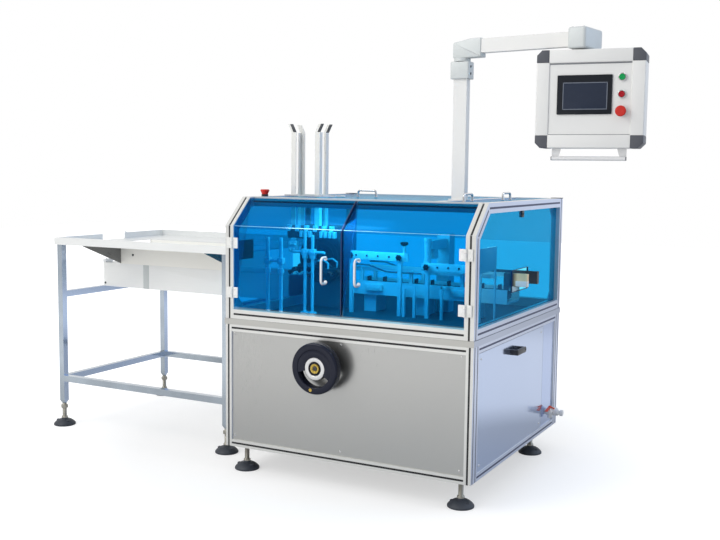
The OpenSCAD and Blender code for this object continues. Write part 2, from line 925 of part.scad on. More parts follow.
module guide_rails() {
  color([0.78, 0.80, 0.82])
    layout() {
      for (g = front_guides)
        translate([g[0], guide_y, g[1]])
          cube([guide_l, guide_t, g[2]]);
      for (y = [path_y0 + inner_in, path_y1 - inner_in - guide_t])
        translate([path_x0 + inner_in, y, inner_z])
          cube([path_x1 - path_x0 - inner_cut, guide_t, inner_h]);
    }
}

module conveyor_stands() {
  block_w = 60;
  block_d = 100;
  post_w = 16;
  post_in = 24;
  thin_w = 14;
  stand_step = 240;
  color([0.62, 0.64, 0.66])
    layout() {
      for (i = [0:2])
        translate([path_x0 + block_w + i * stand_step, path_y - block_d / 2, bed_top])
          cube([block_w, block_d, path_z - path_deep - bed_top]);
      for (g = front_guides, x = [g[0] + post_in, g[0] + guide_l - post_in - post_w])
        translate([x, guide_y - post_w, bed_top])
          cube([post_w, post_w, g[1] + 0.75 * g[2] - bed_top]);
      for (i = [0:2], y = [path_y0 + inner_in - thin_w, path_y1 - inner_in])
        translate([path_x0 + block_d / 2 + i * stand_step, y, path_z - path_deep + path_t])
          cube([thin_w, thin_w, inner_z + 0.75 * inner_h - path_z + path_deep - path_t]);
      guard_bracket();
    }
}

// an upright bracket like a narrow gate, in front of the conveyor
module guard_bracket() {
  x = path_x0 + bracket_x;
  y = path_y - 136;
  wide = 62;
  leg = 12;
  front_plate(y, leg)
    difference() {
      translate([x, bed_top])
        square([wide, bracket_h]);
      translate([x + leg, bed_top - over])
        square([wide - 2 * leg, bracket_h - 1.3 * leg + over]);
    }
}

module discharge_guides() {
  cream_w = 24;
  cream_in = 60;
  x0 = cab_w - cream_in;
  x1 = x0 + cream_l;
  low = path_z + cream_rise;
  color([0.86, 0.80, 0.68])
    layout()
      for (y = [path_y0, path_y1 - cream_w])
        front_plate(y, cream_w)
          polygon([[x0, path_z], [path_x1, path_z], [path_x1 + cream_rise / 2, low], [x1, low],
            [x1, path_z + cream_h], [x0, path_z + cream_h]]);
}

module closing_unit() {
  beam_w = 40;
  beam_z = bed_top + column_h - column_w;
  column_x = path_x0 + guide_step - 20;
  column_y = path_y1 + 20;
  beam_x = column_x + (column_w - beam_w) / 2;
  beam_y = path_y0 + beam_w;
  tool_z = path_z + 110;
  plate_x = cab_w - guard_p - 26;
  plate_y = 200;
  plate_z = path_z + 92;
  plate_t = 6;
  leg_w = 10;
  color([0.40, 0.43, 0.47])
    layout() {
      translate([column_x, column_y, bed_top])
        cube([column_w, column_w, column_h]);
      translate([beam_x, beam_y, beam_z])
        cube([beam_w, column_y - beam_y, beam_w]);
      translate([beam_x, beam_y, tool_z])
        cube([beam_w, beam_w, beam_z - tool_z]);
      translate([plate_x, plate_y, plate_z])
        cube([plate_t, plate_l, plate_h]);
      translate([plate_x, plate_y + plate_l - leg_w, bed_top])
        cube([plate_t, leg_w, plate_z - bed_top]);
    }
}

feed_shaft = 14;
feed_angles = [90, 210, 330];
feed_bar = 92;

module feeder_stand() {
  stand_w = 140;
  stand_t = 30;
  post_w = 18;
  post_h = 460;
  post_gap = 30;
  color([0.20, 0.22, 0.25])
    layout() {
      difference() {
        translate([feed_x - stand_w / 2, feed_y + stand_back, bed_top])
          cube([stand_w, stand_t, stand_h]);
        rod_y([feed_x, feed_y + stand_back - over, feed_z], feed_shaft + play, stand_t);
      }
      for (x = [feed_x - stand_w / 2 - post_gap - post_w, feed_x + stand_w / 2 + post_gap])
        translate([x, feed_y + stand_back, bed_top])
          cube([post_w, post_w, post_h]);
    }
}

module feeder_rotor() {
  hub_r = 42;
  hub_l = 70;
  arm_w = 34;
  arm_t = 20;
  bar_r = 10;
  bar_l = 110;
  tip_l = 24;
  disc_r = 116;
  disc_t = 8;
  disc_y = bar_l / 2 + 3;
  shaft_l = hub_l / 2 + tip_l + stand_back + 15;
  color([0.06, 0.07, 0.09])
    layout() {
      rod_y([feed_x, feed_y - hub_l / 2, feed_z], hub_r, hub_l);
      rod_y([feed_x, feed_y - hub_l / 2 - tip_l, feed_z], feed_shaft, shaft_l);
      rod_y([feed_x, feed_y + disc_y, feed_z], disc_r, disc_t);
      for (a = feed_angles)
        translate([feed_x, feed_y, feed_z])
          rotate([0, -a, 0]) {
            translate([0, -arm_t / 2, -arm_w / 2])
              cube([feed_bar, arm_t, arm_w]);
            rod_y([feed_bar, -bar_l / 2, 0], bar_r, bar_l);
          }
    }
}

module suction_cups() {
  cup_r = 11;
  cup_y = 40;
  cup_at = feed_bar + 10.4;
  color([0.55, 0.16, 0.12])
    layout()
      for (a = feed_angles, y = [-cup_y, cup_y])
        translate([feed_x, feed_y + y, feed_z])
          rotate([0, -a, 0])
            translate([cup_at, 0, 0])
              rotate([0, 90, 0])
                cylinder(r1 = cup_r * 0.7, r2 = cup_r, h = feed_r - cup_at);
}

bearing_out = 14;
axle_r = 14;
boss_in = 8;
ring_in = 2;

module wheel_bearing() {
  bearing_r = 30;
  color([0.55, 0.56, 0.58])
    layout()
      difference() {
        rod_y([wheel_x, -bearing_out, wheel_z], bearing_r, bearing_out + sheet_in);
        rod_y([wheel_x, -bearing_out - over, wheel_z], axle_r + play, bearing_out + over + 2);
      }
}

// the handwheel: a deep rim, a dished boss and a web with one opening at the bottom
module handwheel() {
  web_t = 14;
  web_in = (wheel_t - web_t) / 2;
  inner_r = wheel_r - rim_w;
  open_w = 70;
  color([0.05, 0.05, 0.06])
    layout()
      on_wheel()
        difference() {
          cylinder(r = wheel_r, h = wheel_t);
          translate([0, 0, -over])
            ring_cut(inner_r, boss_r, web_in + over);
          translate([0, 0, -over])
            cylinder(r = boss_r + over, h = boss_in + over);
          translate([0, 0, web_in + web_t])
            ring_cut(inner_r, boss_r, web_in + over);
          intersection() {
            translate([0, 0, -over])
              ring_cut(inner_r, boss_r, wheel_t + 2 * over);
            translate([-open_w / 2, 0, -over])
              cube([open_w, wheel_r, wheel_t + 2 * over]);
          }
        }
}

// a ring to cut away: outer and inner radius, height
module ring_cut(outer, inner, h) {
  difference() {
    cylinder(r = outer, h = h);
    translate([0, 0, -over])
      cylinder(r = inner, h = h + 2 * over);
  }
}

// places children on the handwheel: z runs from its face to the back
module on_wheel() {
  translate([wheel_x, -wheel_out, wheel_z])
    rotate([-90, 0, 0])
      children();
}

module wheel_hub() {
  sleeve_r = 22;
  ring_gap = 7;
  color([0.80, 0.81, 0.82])
    layout()
      on_wheel() {
        difference() {
          translate([0, 0, ring_in])
            cylinder(r = ring_r, h = boss_in - ring_in);
          cylinder(r = brass_r + ring_gap, h = 4 * over);
        }
        translate([0, 0, wheel_t])
          cylinder(r = sleeve_r, h = wheel_out - wheel_t - bearing_out - ring_in);
        translate([0, 0, wheel_t])
          cylinder(r = axle_r, h = wheel_out - wheel_t);
      }
}

module wheel_brass() {
  insert_r = 7;
  insert_turn = 100;
  brass_gap = 0.5;
  color([0.72, 0.55, 0.22])
    layout()
      on_wheel() {
        translate([0, 0, insert_out])
          cylinder(r = brass_r - brass_gap, h = boss_in - insert_out);
        rotate([0, 0, insert_turn])
          translate([wheel_r - rim_w / 2, 0, -insert_out])
            cylinder(r = insert_r, h = insert_out);
      }
}

valve_x = cab_w - sheet_in;
valve_y = cab_d - valve_in;
valve_z = base_z + valve_up;

module valve_body() {
  tee_r = pipe_r - 1;
  color([0.88, 0.88, 0.86])
    layout() {
      rod_x([valve_x, valve_y, valve_z], pipe_r, pipe_l);
      rod_y([valve_x + pipe_l - pipe_r, valve_y, valve_z], tee_r, tee_l);
    }
}

module valve_lever() {
  knob_r = 6;
  knob_h = 10;
  blade_t = 4;
  clear = 0.3;
  color([0.75, 0.16, 0.08])
    layout()
      translate([valve_x + pipe_l / 2 - 1, valve_y, valve_z + pipe_r + clear]) {
        cylinder(r = knob_r, h = knob_h);
        translate([-knob_r, -lever_l, knob_h - blade_t])
          cube([2 * knob_r, lever_l, blade_t]);
      }
}

module control_post() {
  foot_out = 10;
  foot_t = 5;
  color([0.90, 0.90, 0.88])
    layout()
      translate([mast_x, mast_y, guard_top]) {
        translate([-mast_w / 2 - foot_out, -mast_d / 2 - foot_out, 0])
          cube([mast_w + 2 * foot_out, mast_d + 2 * foot_out, foot_t]);
        translate([-mast_w / 2, -mast_d / 2, foot_t])
          cube([mast_w, mast_d, collar_z - guard_top - foot_t]);
      }
}

spigot_r = 18;
spigot_l = 24;
swivel_gap = 1;
swivel_z = collar_z + collar_h + swivel_gap;
swivel_h = 13;
swivel_r = 34;

module post_collar() {
  wide = mast_w + 2 * collar_out;
  deep = mast_d + 2 * collar_out;
  color([0.78, 0.80, 0.80])
    layout()
      difference() {
        translate([mast_x - wide / 2, mast_y - deep / 2, collar_z])
          cube([wide, deep, collar_h]);
        translate([mast_x, mast_y, collar_z + collar_h - spigot_l - swivel_gap])
          cylinder(r = spigot_r + play, h = spigot_l + over);
      }
}

// places children on the arm: x runs along it from the post's axis
module on_arm() {
  layout()
    translate([mast_x, mast_y, 0])
      rotate([0, 0, -arm_turn])
        children();
}

module arm_tube() {
  color([0.90, 0.90, 0.88])
    on_arm()
      translate([elbow_l, -mast_d / 2, arm_top - arm_h])
        cube([arm_len - cap_l / 2 - elbow_l, mast_d, arm_h]);
}

module arm_castings() {
  color([0.78, 0.80, 0.80])
    on_arm() {
      translate([0, 0, swivel_z])
        cylinder(r = swivel_r, h = swivel_h);
      translate([0, 0, swivel_z - spigot_l])
        cylinder(r = spigot_r, h = spigot_l + 1);
      elbow();
      cap();
    }
}

// the elbow on the post: a block whose top falls away to the outer side
module elbow() {
  wall = 4;
  z0 = swivel_z + swivel_h;
  z1 = arm_top + wall;
  back = mast_w / 2 + wall;
  fall = 13;
  front_plate(-mast_d / 2 - wall, mast_d + 2 * wall)
    polygon([[-back, z0], [elbow_l, z0], [elbow_l, z1], [elbow_l / 2, z1], [-back, z1 - fall]]);
}

// the casting over the panel, with the bore of the panel's swivel
module cap() {
  z0 = panel_top + swivel_gap + 3;
  difference() {
    union() {
      translate([arm_len - cap_l / 2, -cap_d / 2, z0])
        cube([cap_l, cap_d, cap_top - z0]);
      translate([arm_len, 0, panel_top + swivel_gap])
        cylinder(r = swivel_r, h = spigot_l);
    }
    translate([arm_len, 0, panel_top])
      cylinder(r = spigot_r + play, h = spigot_l + swivel_gap);
  }
}

// places children on the control panel: x from its middle to the right, y from its front to the back
module on_panel() {
  layout()
    translate([panel_x, panel_y, 0])
      rotate([0, 0, panel_turn])
        translate([panel_off, -panel_front, 0])
          children();
}

module panel_case() {
  color([0.88, 0.88, 0.86])
    on_panel() {
      translate([-panel_off, panel_front, panel_top - 1])
        cylinder(r = spigot_r, h = spigot_l + 1);
      panel_box();
    }
}

module panel_box() {
  difference() {
    translate([-panel_w / 2, 0, panel_z])
      cube([panel_w, panel_d, panel_h]);
    for (sx = [-1, 1], z = [panel_z, panel_top])
      translate([sx * panel_w / 2 - edge_w, -over, z - edge_w])
        cube([2 * edge_w, panel_d + 2 * over, 2 * edge_w]);
    translate([-panel_w / 2 + face_edge, -over, panel_z + face_edge])
      cube([panel_w - 2 * face_edge, over + face_in + face_t, panel_h - 2 * face_edge]);
  }
}

module panel_corners() {
  color([0.25, 0.26, 0.29])
    on_panel()
      for (sx = [-1, 1], sz = [-1, 1]) {
        x = sx * panel_w / 2;
        z = panel_z + panel_h / 2 + sz * panel_h / 2;
        front_plate(0, panel_d)
          polygon([[x - sx * edge_w, z - sz * edge_w], [x, z - sz * edge_w], [x, z - sz * corner_cut],
            [x - sx * corner_cut, z], [x - sx * edge_w, z]]);
      }
}

module panel_face() {
  color([0.86, 0.86, 0.85])
    on_panel()
      translate([-panel_w / 2 + face_edge, face_in, panel_z + face_edge])
        cube([panel_w - 2 * face_edge, face_t, panel_h - 2 * face_edge]);
}

module panel_screen() {
  bezel_t = 6;
  color([0.04, 0.045, 0.055])
    on_panel()
      translate([-screen_off - screen_w / 2, face_in - bezel_t, panel_z + button_up - screen_h / 2])
        cube([screen_w, bezel_t, screen_h]);
}

module panel_handle() {
  leg_w = 28;
  leg_t = 5;
  bar_r = 8;
  grip_y = 30;
  color([0.82, 0.83, 0.84])
    on_panel() {
      for (s = [-1, 1])
        translate([s * panel_grip_l / 2 - (s > 0 ? leg_w : 0), grip_y, panel_z - panel_grip_h])
          cube([leg_w, leg_t, panel_grip_h]);
      rod_x([-panel_grip_l / 2, grip_y - bar_r, panel_z - panel_grip_h + bar_r], bar_r, panel_grip_l);
    }
}

start_z = panel_z + button_up + button_step;
stop_z = panel_z + button_up;
emerg_z = panel_z + button_up - button_step;
ring_t = 9;
collar_r = 15;
cap_r = 11;
cap_out = 3;
stem_r = 9;
head_r = 20;
head_gap = 6;
head_h = 15;
press_room = 5;

// the collars are tubes; each button slides in its own
module button_rings() {
  color([0.70, 0.71, 0.73])
    on_panel()
      for (k = [[start_z, cap_r], [stop_z, cap_r], [emerg_z, stem_r]])
        difference() {
          rod_y([button_off, face_in - ring_t, k[0]], collar_r, ring_t);
          rod_y([button_off, face_in - ring_t - over, k[0]], k[1] + play, ring_t + 2 * over);
        }
}

// a flat push button, its back clear of the plate by its travel
module push_button(z) {
  on_panel()
    rod_y([button_off, face_in - ring_t - cap_out, z], cap_r, cap_out + ring_t - press_room);
}

module start_button() {
  color([0.03, 0.48, 0.24])
    push_button(start_z);
}

module stop_button() {
  color([0.70, 0.04, 0.08])
    push_button(stop_z);
}

// a mushroom head on a stem, along +Z, standing on the collar's base
module mushroom(h) {
  translate([0, 0, press_room])
    cylinder(r = stem_r, h = ring_t + head_gap - press_room + 1);
  translate([0, 0, ring_t + head_gap])
    cylinder(r = head_r, h = h);
}

module panel_stop() {
  color([0.75, 0.10, 0.09])
    on_panel()
      translate([button_off, face_in, emerg_z])
        rotate([90, 0, 0])
          mushroom(head_h);
}

stop_x = 24;
stop_y = 262;

module stop_base() {
  color([0.30, 0.31, 0.33])
    layout()
      translate([stop_x, stop_y, guard_top])
        difference() {
          cylinder(r = collar_r, h = ring_t);
          translate([0, 0, -over])
            cylinder(r = stem_r + play, h = ring_t + 2 * over);
        }
}

module deck_stop() {
  color([0.70, 0.06, 0.08])
    layout()
      translate([stop_x, stop_y, guard_top])
        mushroom(head_h);
}

module table_legs() {
  foot_cut = 8;
  color([0.78, 0.80, 0.81])
    layout()
      for (p = table_feet)
        translate([p[0], p[1], leg_z]) {
          intersection() {
            front_plate(-tube_w / 2, tube_w)
              leg_profile(foot_cut);
            side_plate(-tube_w / 2, tube_w)
              leg_profile(foot_cut);
          }
        }
}

// a leg seen from the front or the side: straight, with its lower end drawn in
module leg_profile(cut) {
  h = table_h - tray_h - leg_z;
  w = tube_w / 2;
  polygon([[cut - w, 0], [w - cut, 0], [w, 2 * cut], [w, h], [-w, h], [-w, 2 * cut]]);
}

module table_rails() {
  color([0.78, 0.80, 0.81])
    layout() {
      for (y = [table_y, table_y + table_d - tube_w])
        translate([-table_x + tube_w, y, low_z])
          cube([table_x - table_gap - 2 * tube_w, tube_w, tube_w]);
      for (x = [-table_x, -table_gap - tube_w], z = [low_z, mid_z])
        translate([x, table_y + tube_w, z])
          cube([tube_w, table_d - 2 * tube_w, tube_w]);
    }
}

// the tray: floor, front edge, back and left walls, and the slot over the feed box
module table_tray() {
  x0 = -table_x - tray_over;
  w = table_x + 2 * tray_over - table_gap;
  y0 = table_y - tray_over;
  d = table_d + 2 * tray_over;
  z0 = table_h - tray_h;
  color([0.80, 0.82, 0.83])
    layout()
      difference() {
        translate([x0, y0, z0])
          cube([w, d, tray_h]);
        translate([x0 + tray_t, y0 + tube_w, z0 + tray_t])
          cube([w, d - tube_w - tray_t, tray_h]);
        translate([x0 - over, gap_y0, z0 + tray_t])
          cube([w, gap_y1 - gap_y0, tray_h]);
        translate([-gusset_l + over, box_y + tray_t, z0 - over])
          cube([gusset_l - gusset_r - 2 * over, box_w - 2 * tray_t, 4 * over]);
      }
}

module feed_box() {
  color([0.84, 0.85, 0.85])
    layout()
      translate([-table_x + box_in, box_y, mid_z + tube_w])
        cube([table_x - box_in, box_w, box_h]);
}

module trough_plates() {
  z0 = mid_z + tube_w + box_h;
  z1 = table_h - tray_h;
  clear = 0.5;
  color([0.86, 0.84, 0.79])
    layout() {
      for (y = [box_y, box_y + box_w - tray_t])
        translate([-gusset_l + tray_t, y, z0])
          cube([gusset_l - gusset_r - tray_t, tray_t, z1 - z0]);
      gusset(-gusset_l, box_y);
      gusset(-gusset_r - tray_t, box_y - clear);
    }

  module gusset(x, y) {
    side_plate(x, tray_t)
      polygon([[table_y + tray_over, z1], [y, z1], [y, z0]]);
  }
}

base_posts();
base_rails();
slot_strips();
bed_plate();
base_panels();
side_cover();
cover_handle();
base_tray();
foot_studs();
foot_pads();
guard_posts();
guard_slopes();
guard_rails();
guard_sides();
windows();
top_covers();
top_handles();
door_hinges();
magazine_rails();
magazine_bar();
conveyor_frame();
conveyor_chain();
guide_rails();
conveyor_stands();
discharge_guides();
closing_unit();
feeder_stand();
wheel_bearing();
valve_body();
control_post();
post_collar();
stop_base();
table_legs();
table_rails();
table_tray();
feed_box();
trough_plates();
left_door();
left_hardware();
right_door();
right_hardware();
handwheel();
wheel_hub();
wheel_brass();
feeder_rotor();
suction_cups();
arm_tube();
arm_castings();
panel_case();
panel_corners();
panel_face();
panel_screen();
panel_handle();
button_rings();
start_button();
stop_button();
panel_stop();
deck_stop();
valve_lever();
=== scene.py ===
# %% [markdown]
# # An automatic cartoner
#
# A cartoner erects flat carton blanks, slides goods into them and closes the flaps. This one has a
# cabinet of aluminium profile on levelling feet, blue acrylic guards, a stainless infeed table and a
# control panel on a swing arm. The CAD model already has every solid in its place. This lesson dresses
# it: finishes for every surface, and the small turned, bent and cast pieces that plain solids leave out.
#
# Lengths inside the cells are in millimetres from the cabinet's front left corner, as on a drawing.
# One function turns them into the frame's metres.

import json

import bmesh
import bpy
import numpy as np
from mathutils import Matrix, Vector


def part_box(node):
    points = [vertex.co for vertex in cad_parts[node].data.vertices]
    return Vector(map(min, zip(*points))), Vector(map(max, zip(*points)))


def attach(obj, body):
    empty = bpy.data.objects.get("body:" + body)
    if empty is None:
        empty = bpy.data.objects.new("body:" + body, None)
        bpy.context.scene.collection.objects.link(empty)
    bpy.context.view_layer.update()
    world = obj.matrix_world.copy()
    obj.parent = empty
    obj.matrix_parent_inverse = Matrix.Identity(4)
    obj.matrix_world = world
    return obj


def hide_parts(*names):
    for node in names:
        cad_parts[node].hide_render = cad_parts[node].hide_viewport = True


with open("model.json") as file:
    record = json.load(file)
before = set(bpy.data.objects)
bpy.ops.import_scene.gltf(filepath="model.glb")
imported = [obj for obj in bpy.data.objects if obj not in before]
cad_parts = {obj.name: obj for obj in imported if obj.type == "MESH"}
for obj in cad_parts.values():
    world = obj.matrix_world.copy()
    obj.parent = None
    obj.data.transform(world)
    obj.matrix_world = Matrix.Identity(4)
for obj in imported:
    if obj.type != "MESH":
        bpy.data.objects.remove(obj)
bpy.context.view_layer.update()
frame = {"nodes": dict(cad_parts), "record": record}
corner = np.array([*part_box("base_posts")[0][:2], 0.0])
scene = bpy.context.scene
scene.view_settings.view_transform = "Standard"

# %% [markdown]
# ## Camera
#
# The camera stands where the photographer stood: about 4.5 m away, to the right of the front, a little
# above the bed. Vertical edges in the photo lean by about half a degree, so the camera is rolled too.
# The three axes of the camera are built from yaw, pitch and roll and written straight into its matrix.

# %% Camera
MM = 0.001
EYE = (2430.4, -3396.3, 1285.2)
LENS, SENSOR = 49.365, 36.0
yaw, pitch, roll = np.radians([27.80, 5.73, 0.66])
ahead = np.array([-np.sin(yaw) * np.cos(pitch), np.cos(yaw) * np.cos(pitch), -np.sin(pitch)])
level = np.array([np.cos(yaw), np.sin(yaw), 0.0])
above = np.cross(level, ahead)
camera_x = level * np.cos(roll) + above * np.sin(roll)
camera_y = above * np.cos(roll) - level * np.sin(roll)
eye = corner + np.array(EYE) * MM


def placed(*columns):
    """The matrix of an object, from its three axes and its place."""
    return Matrix(np.vstack([np.column_stack(columns), [0, 0, 0, 1]]).tolist())


camera = bpy.data.objects.new("camera", bpy.data.cameras.new("camera"))
scene.collection.objects.link(camera)
camera.data.sensor_fit = "HORIZONTAL"
camera.data.sensor_width = SENSOR
camera.data.lens = LENS
camera.matrix_world = placed(camera_x, camera_y, -ahead, eye)
scene.camera = camera
print("camera at", eye.round(3))

# %% [markdown]
# ## Shader arithmetic
#
# A finish is a small calculation: noise times a factor, plus a base, clipped. Node trees for such sums
# get long, so one class wraps a socket and lets Python's own operators add the Math nodes, and one method
# makes any other node: its settings first, then the values or links of its sockets.


# %% Value and Net
class Value:
    """A number flowing through a node tree; arithmetic on it adds Math nodes."""

    def __init__(self, net, socket):
        self.net = net
        self.socket = socket

    def math(self, operation, *others):
        return self.net.node("ShaderNodeMath", {"operation": operation}, dict(enumerate((self, *others))))

    def __add__(self, other):
        return self.math("ADD", other)

    def __sub__(self, other):
        return self.math("SUBTRACT", other)

    def __mul__(self, other):
        return self.math("MULTIPLY", other)

    def __truediv__(self, other):
        return self.math("DIVIDE", other)

    def __pow__(self, other):
        return self.math("POWER", other)

    def under(self, operation, other):
        """The same with the other value first."""
        return self.net.node("ShaderNodeMath", {"operation": operation}, {0: other, 1: self})

    def __rsub__(self, other):
        return self.under("SUBTRACT", other)

    def __rtruediv__(self, other):
        return self.under("DIVIDE", other)

    __radd__ = __add__
    __rmul__ = __mul__

    def clip(self):
        return self.math("MAXIMUM", 0.0).math("MINIMUM", 1.0)

    def ramp(self, low, high):
        """0 below low, 1 above high, a straight line between."""
        return ((self - low) / (high - low)).clip()


class Net:
    """A node tree with one method that adds any node."""

    def __init__(self, tree):
        self.tree = tree

    def node(self, kind, settings=None, sockets=None, out=0):
        made = self.tree.nodes.new(kind)
        for name, setting in (settings or {}).items():
            setattr(made, name, setting)
        for key, value in (sockets or {}).items():
            self.feed(made.inputs[key], value)
        return Value(self, made.outputs[out])

    def feed(self, socket, value):
        if isinstance(value, Value):
            self.tree.links.new(value.socket, socket)
        elif socket.type == "RGBA" and len(value) == 3:
            socket.default_value = (*value, 1.0)
        else:
            socket.default_value = value

    def mix(self, share, low, high):
        """A colour between low and high."""
        return self.node("ShaderNodeMix", {"data_type": "RGBA"}, {0: share, 6: low, 7: high}, 2)

    def spot(self):
        """The point on the object, in its own metres."""
        return self.node("ShaderNodeTexCoord", out=3)

    def noise(self, scale, stretch=(1.0, 1.0, 1.0), detail=3.0):
        """Soft noise around 0.5; a small stretch factor draws it out along that axis."""
        sockets = {"Vector": self.spot(), "Scale": stretch}
        where = self.node("ShaderNodeMapping", {"vector_type": "POINT"}, sockets)
        return self.node("ShaderNodeTexNoise", {}, {"Vector": where, "Scale": scale, "Detail": detail})

    def axis(self, index):
        """One coordinate of the point on the object."""
        return self.node("ShaderNodeSeparateXYZ", {}, {0: self.spot()}, index)


print("Value and Net ready")

# %% [markdown]
# ## Studio
#
# The photo is cut out on white. The floor is pale and catches a soft shadow; further out it fades into the
# white background. What a mirror or a clear sheet sees of the surroundings is white behind the object, with
# a cool flank on the right and the greyer hall on the photographer's side: polished steel shows that hall,
# so it looks grey and not white. Diffuse rays get a plain sky, so that colours come out as they are written.
# One large soft lamp stands at the front left, a low one in front, a weak cool one far to the right. A small
# bright one overhead draws highlights on round edges, and two hang unseen inside the guard, because blue
# sheet keeps most of the others out.


# %% Studio
def seen(net):
    """1 for rays that look at the surroundings: from the camera, from gloss, or through clear sheet."""
    kinds = [net.node("ShaderNodeLightPath", out=k) for k in (0, 3, 6)]
    return kinds[0].math("MAXIMUM", kinds[1]).math("MAXIMUM", kinds[2])


world = bpy.data.worlds.new("studio")
world.use_nodes = True
scene.world = world
sky = Net(world.node_tree)
toward = sky.node("ShaderNodeTexCoord", out=0)
sky_x, sky_y = [sky.node("ShaderNodeSeparateXYZ", {}, {0: toward}, k) for k in (0, 1)]
white = (1.0, 1.0, 1.0)
flank = sky_x.ramp(0.02, 0.75)
hall = (0.0 - sky_y).ramp(0.0, 0.6)
shown = sky.mix(hall, sky.mix(flank, white, (0.62, 0.74, 0.96)), (0.60, 0.60, 0.59))
plain = sky.mix(flank, (0.68, 0.68, 0.68), (0.46, 0.52, 0.64))
sky_color = sky.mix(sky.node("ShaderNodeLightPath", out=0), sky.mix(seen(sky), plain, shown), white)
sky.feed(world.node_tree.nodes["Background"].inputs["Color"], sky_color)

floor_mesh = bpy.data.meshes.new("floor")
reach = 14.0
floor_corners = [(x * reach, y * reach, 0) for x, y in ((-1, -1), (1, -1), (1, 1), (-1, 1))]
floor_mesh.from_pydata(floor_corners, [], [(0, 1, 2, 3)])
floor = bpy.data.objects.new("floor", floor_mesh)
scene.collection.objects.link(floor)
floor_paint = bpy.data.materials.new("floor")
floor_paint.use_nodes = True
floor_mesh.materials.append(floor_paint)
ground = Net(floor_paint.node_tree)
away = (ground.axis(0) ** 2 + ground.axis(1) ** 2) ** 0.5
straight = ground.node("ShaderNodeLightPath", out=0)
beside = ground.axis(0).ramp(0.7, 1.0)
ahead_glow = away.ramp(1.2, 3.6) * 0.35 + 0.14
beside_glow = away.ramp(1.45, 1.85) * (1.0 - away.ramp(3.8, 5.5)) * 0.36 + 0.05
mirrored = ahead_glow + beside * (beside_glow - ahead_glow)
direct = away.ramp(0.9, 2.8) * 0.48 + 0.50
lit = ground.mix(seen(ground) * (mirrored + straight * (direct - mirrored)), (0.0, 0.0, 0.0), white)
floor_shader = floor_paint.node_tree.nodes["Principled BSDF"]
floor_shader.inputs["Base Color"].default_value = (0.50, 0.50, 0.50, 1.0)
floor_shader.inputs["Roughness"].default_value = 0.9
floor_shader.inputs["Emission Strength"].default_value = 1.0
ground.feed(floor_shader.inputs["Emission Color"], lit)


def lamp(name, place, target, size, watts, color):
    """A square area lamp that faces a target."""
    data = bpy.data.lights.new(name, "AREA")
    data.size = size
    data.energy = watts
    data.color = color
    obj = bpy.data.objects.new(name, data)
    scene.collection.objects.link(obj)
    back = np.array(place, float) - np.array(target, float)
    back /= np.linalg.norm(back)
    side = np.cross([0, 0, 1], back)
    side /= np.linalg.norm(side)
    obj.matrix_world = placed(side, np.cross(back, side), back, place)
    return obj


lamp("key", (-2.6, -4.2, 4.4), (0.0, 0.0, 0.8), 3.2, 140.0, (1.0, 0.985, 0.96))
lamp("fill", (4.6, 2.0, 2.6), (0.6, 0.0, 0.6), 3.0, 50.0, (0.74, 0.86, 1.0))
low = lamp("low", (-0.8, -5.2, 1.3), (-0.3, 0.0, 0.7), 3.5, 100.0, (1.0, 0.99, 0.97))
low.visible_glossy = False
lamp("spark", (2.69, -0.68, 4.28), (0.25, -0.55, 0.5), 0.45, 9.0, white)
for name, at, target, size, watts in (("inner", (0.50, 0.20, 1.12), (0.49, 0.28, 0.80), 0.45, 6.4),
                                      ("inner_right", (1.04, 0.30, 1.08), (0.96, 0.62, 0.72), 0.10, 0.6)):
    inner = lamp(name, corner + np.array(at), corner + np.array(target), size, watts, white)
    inner.visible_camera = False
    inner.visible_glossy = False
print("studio ready")

# %% [markdown]
# ## Finishes
#
# Every record slot gets one finish. Most of them share one recipe: a base colour that drifts a little in
# large soft clouds, a grain (drawn out along one direction where metal was brushed or extruded), a roughness
# that wanders, and a low bump from the same grain. The numbers make it powder coat, rubber, phenolic or
# stainless. Colours are written in linear values. Some are painted light: faces that look right get another
# copy of their finish, mostly bluer, for the light and reflection on that side. The bed is paler at its edges
# and darker and duller on top: the direction that a face looks in picks between the two.
# Settings that several finishes share have a name of their own.

# %% Finishes
finish = {}


def coat(slot, color, roughness, metallic=0.0, tone=0.06, cloud=3.0, grain=60.0, stretch=(1.0, 1.0, 1.0),
         bump=0.15, depth=0.0006, rough_spread=0.10, speck=0.05, **fixed):
    """One finish. Colour = base times (1 + tone times cloud noise + speck times grain), between base times
    (1 - swing) and base times (1 + swing); the same grain lifts the roughness and the surface."""
    material = bpy.data.materials.new(slot)
    material.use_nodes = True
    net = Net(material.node_tree)
    shader = material.node_tree.nodes["Principled BSDF"]
    clouds = net.noise(cloud, detail=4.0)
    lines = net.noise(grain, stretch, 5.0)
    swing = min(0.5, 0.98 / max(color) - 1.0)
    share = ((clouds - 0.5) * (1.25 * tone / swing) + (lines - 0.5) * (1.25 * speck / swing) + 0.5).clip()
    dark, pale = [tuple(c * (1.0 + s) for c in color) for s in (-swing, swing)]
    net.feed(shader.inputs["Base Color"], net.mix(share, dark, pale))
    uneven = (lines - 0.5) * rough_spread
    net.feed(shader.inputs["Roughness"], (roughness + uneven + (clouds - 0.5) * rough_spread).clip())
    normal = net.node("ShaderNodeBump", {}, {"Strength": bump, "Distance": depth, "Height": lines})
    net.feed(shader.inputs["Normal"], normal)
    shader.inputs["Metallic"].default_value = metallic
    for name, value in fixed.items():
        net.feed(shader.inputs[name.replace("_", " ")], value)
    finish[slot] = material
    return net, shader


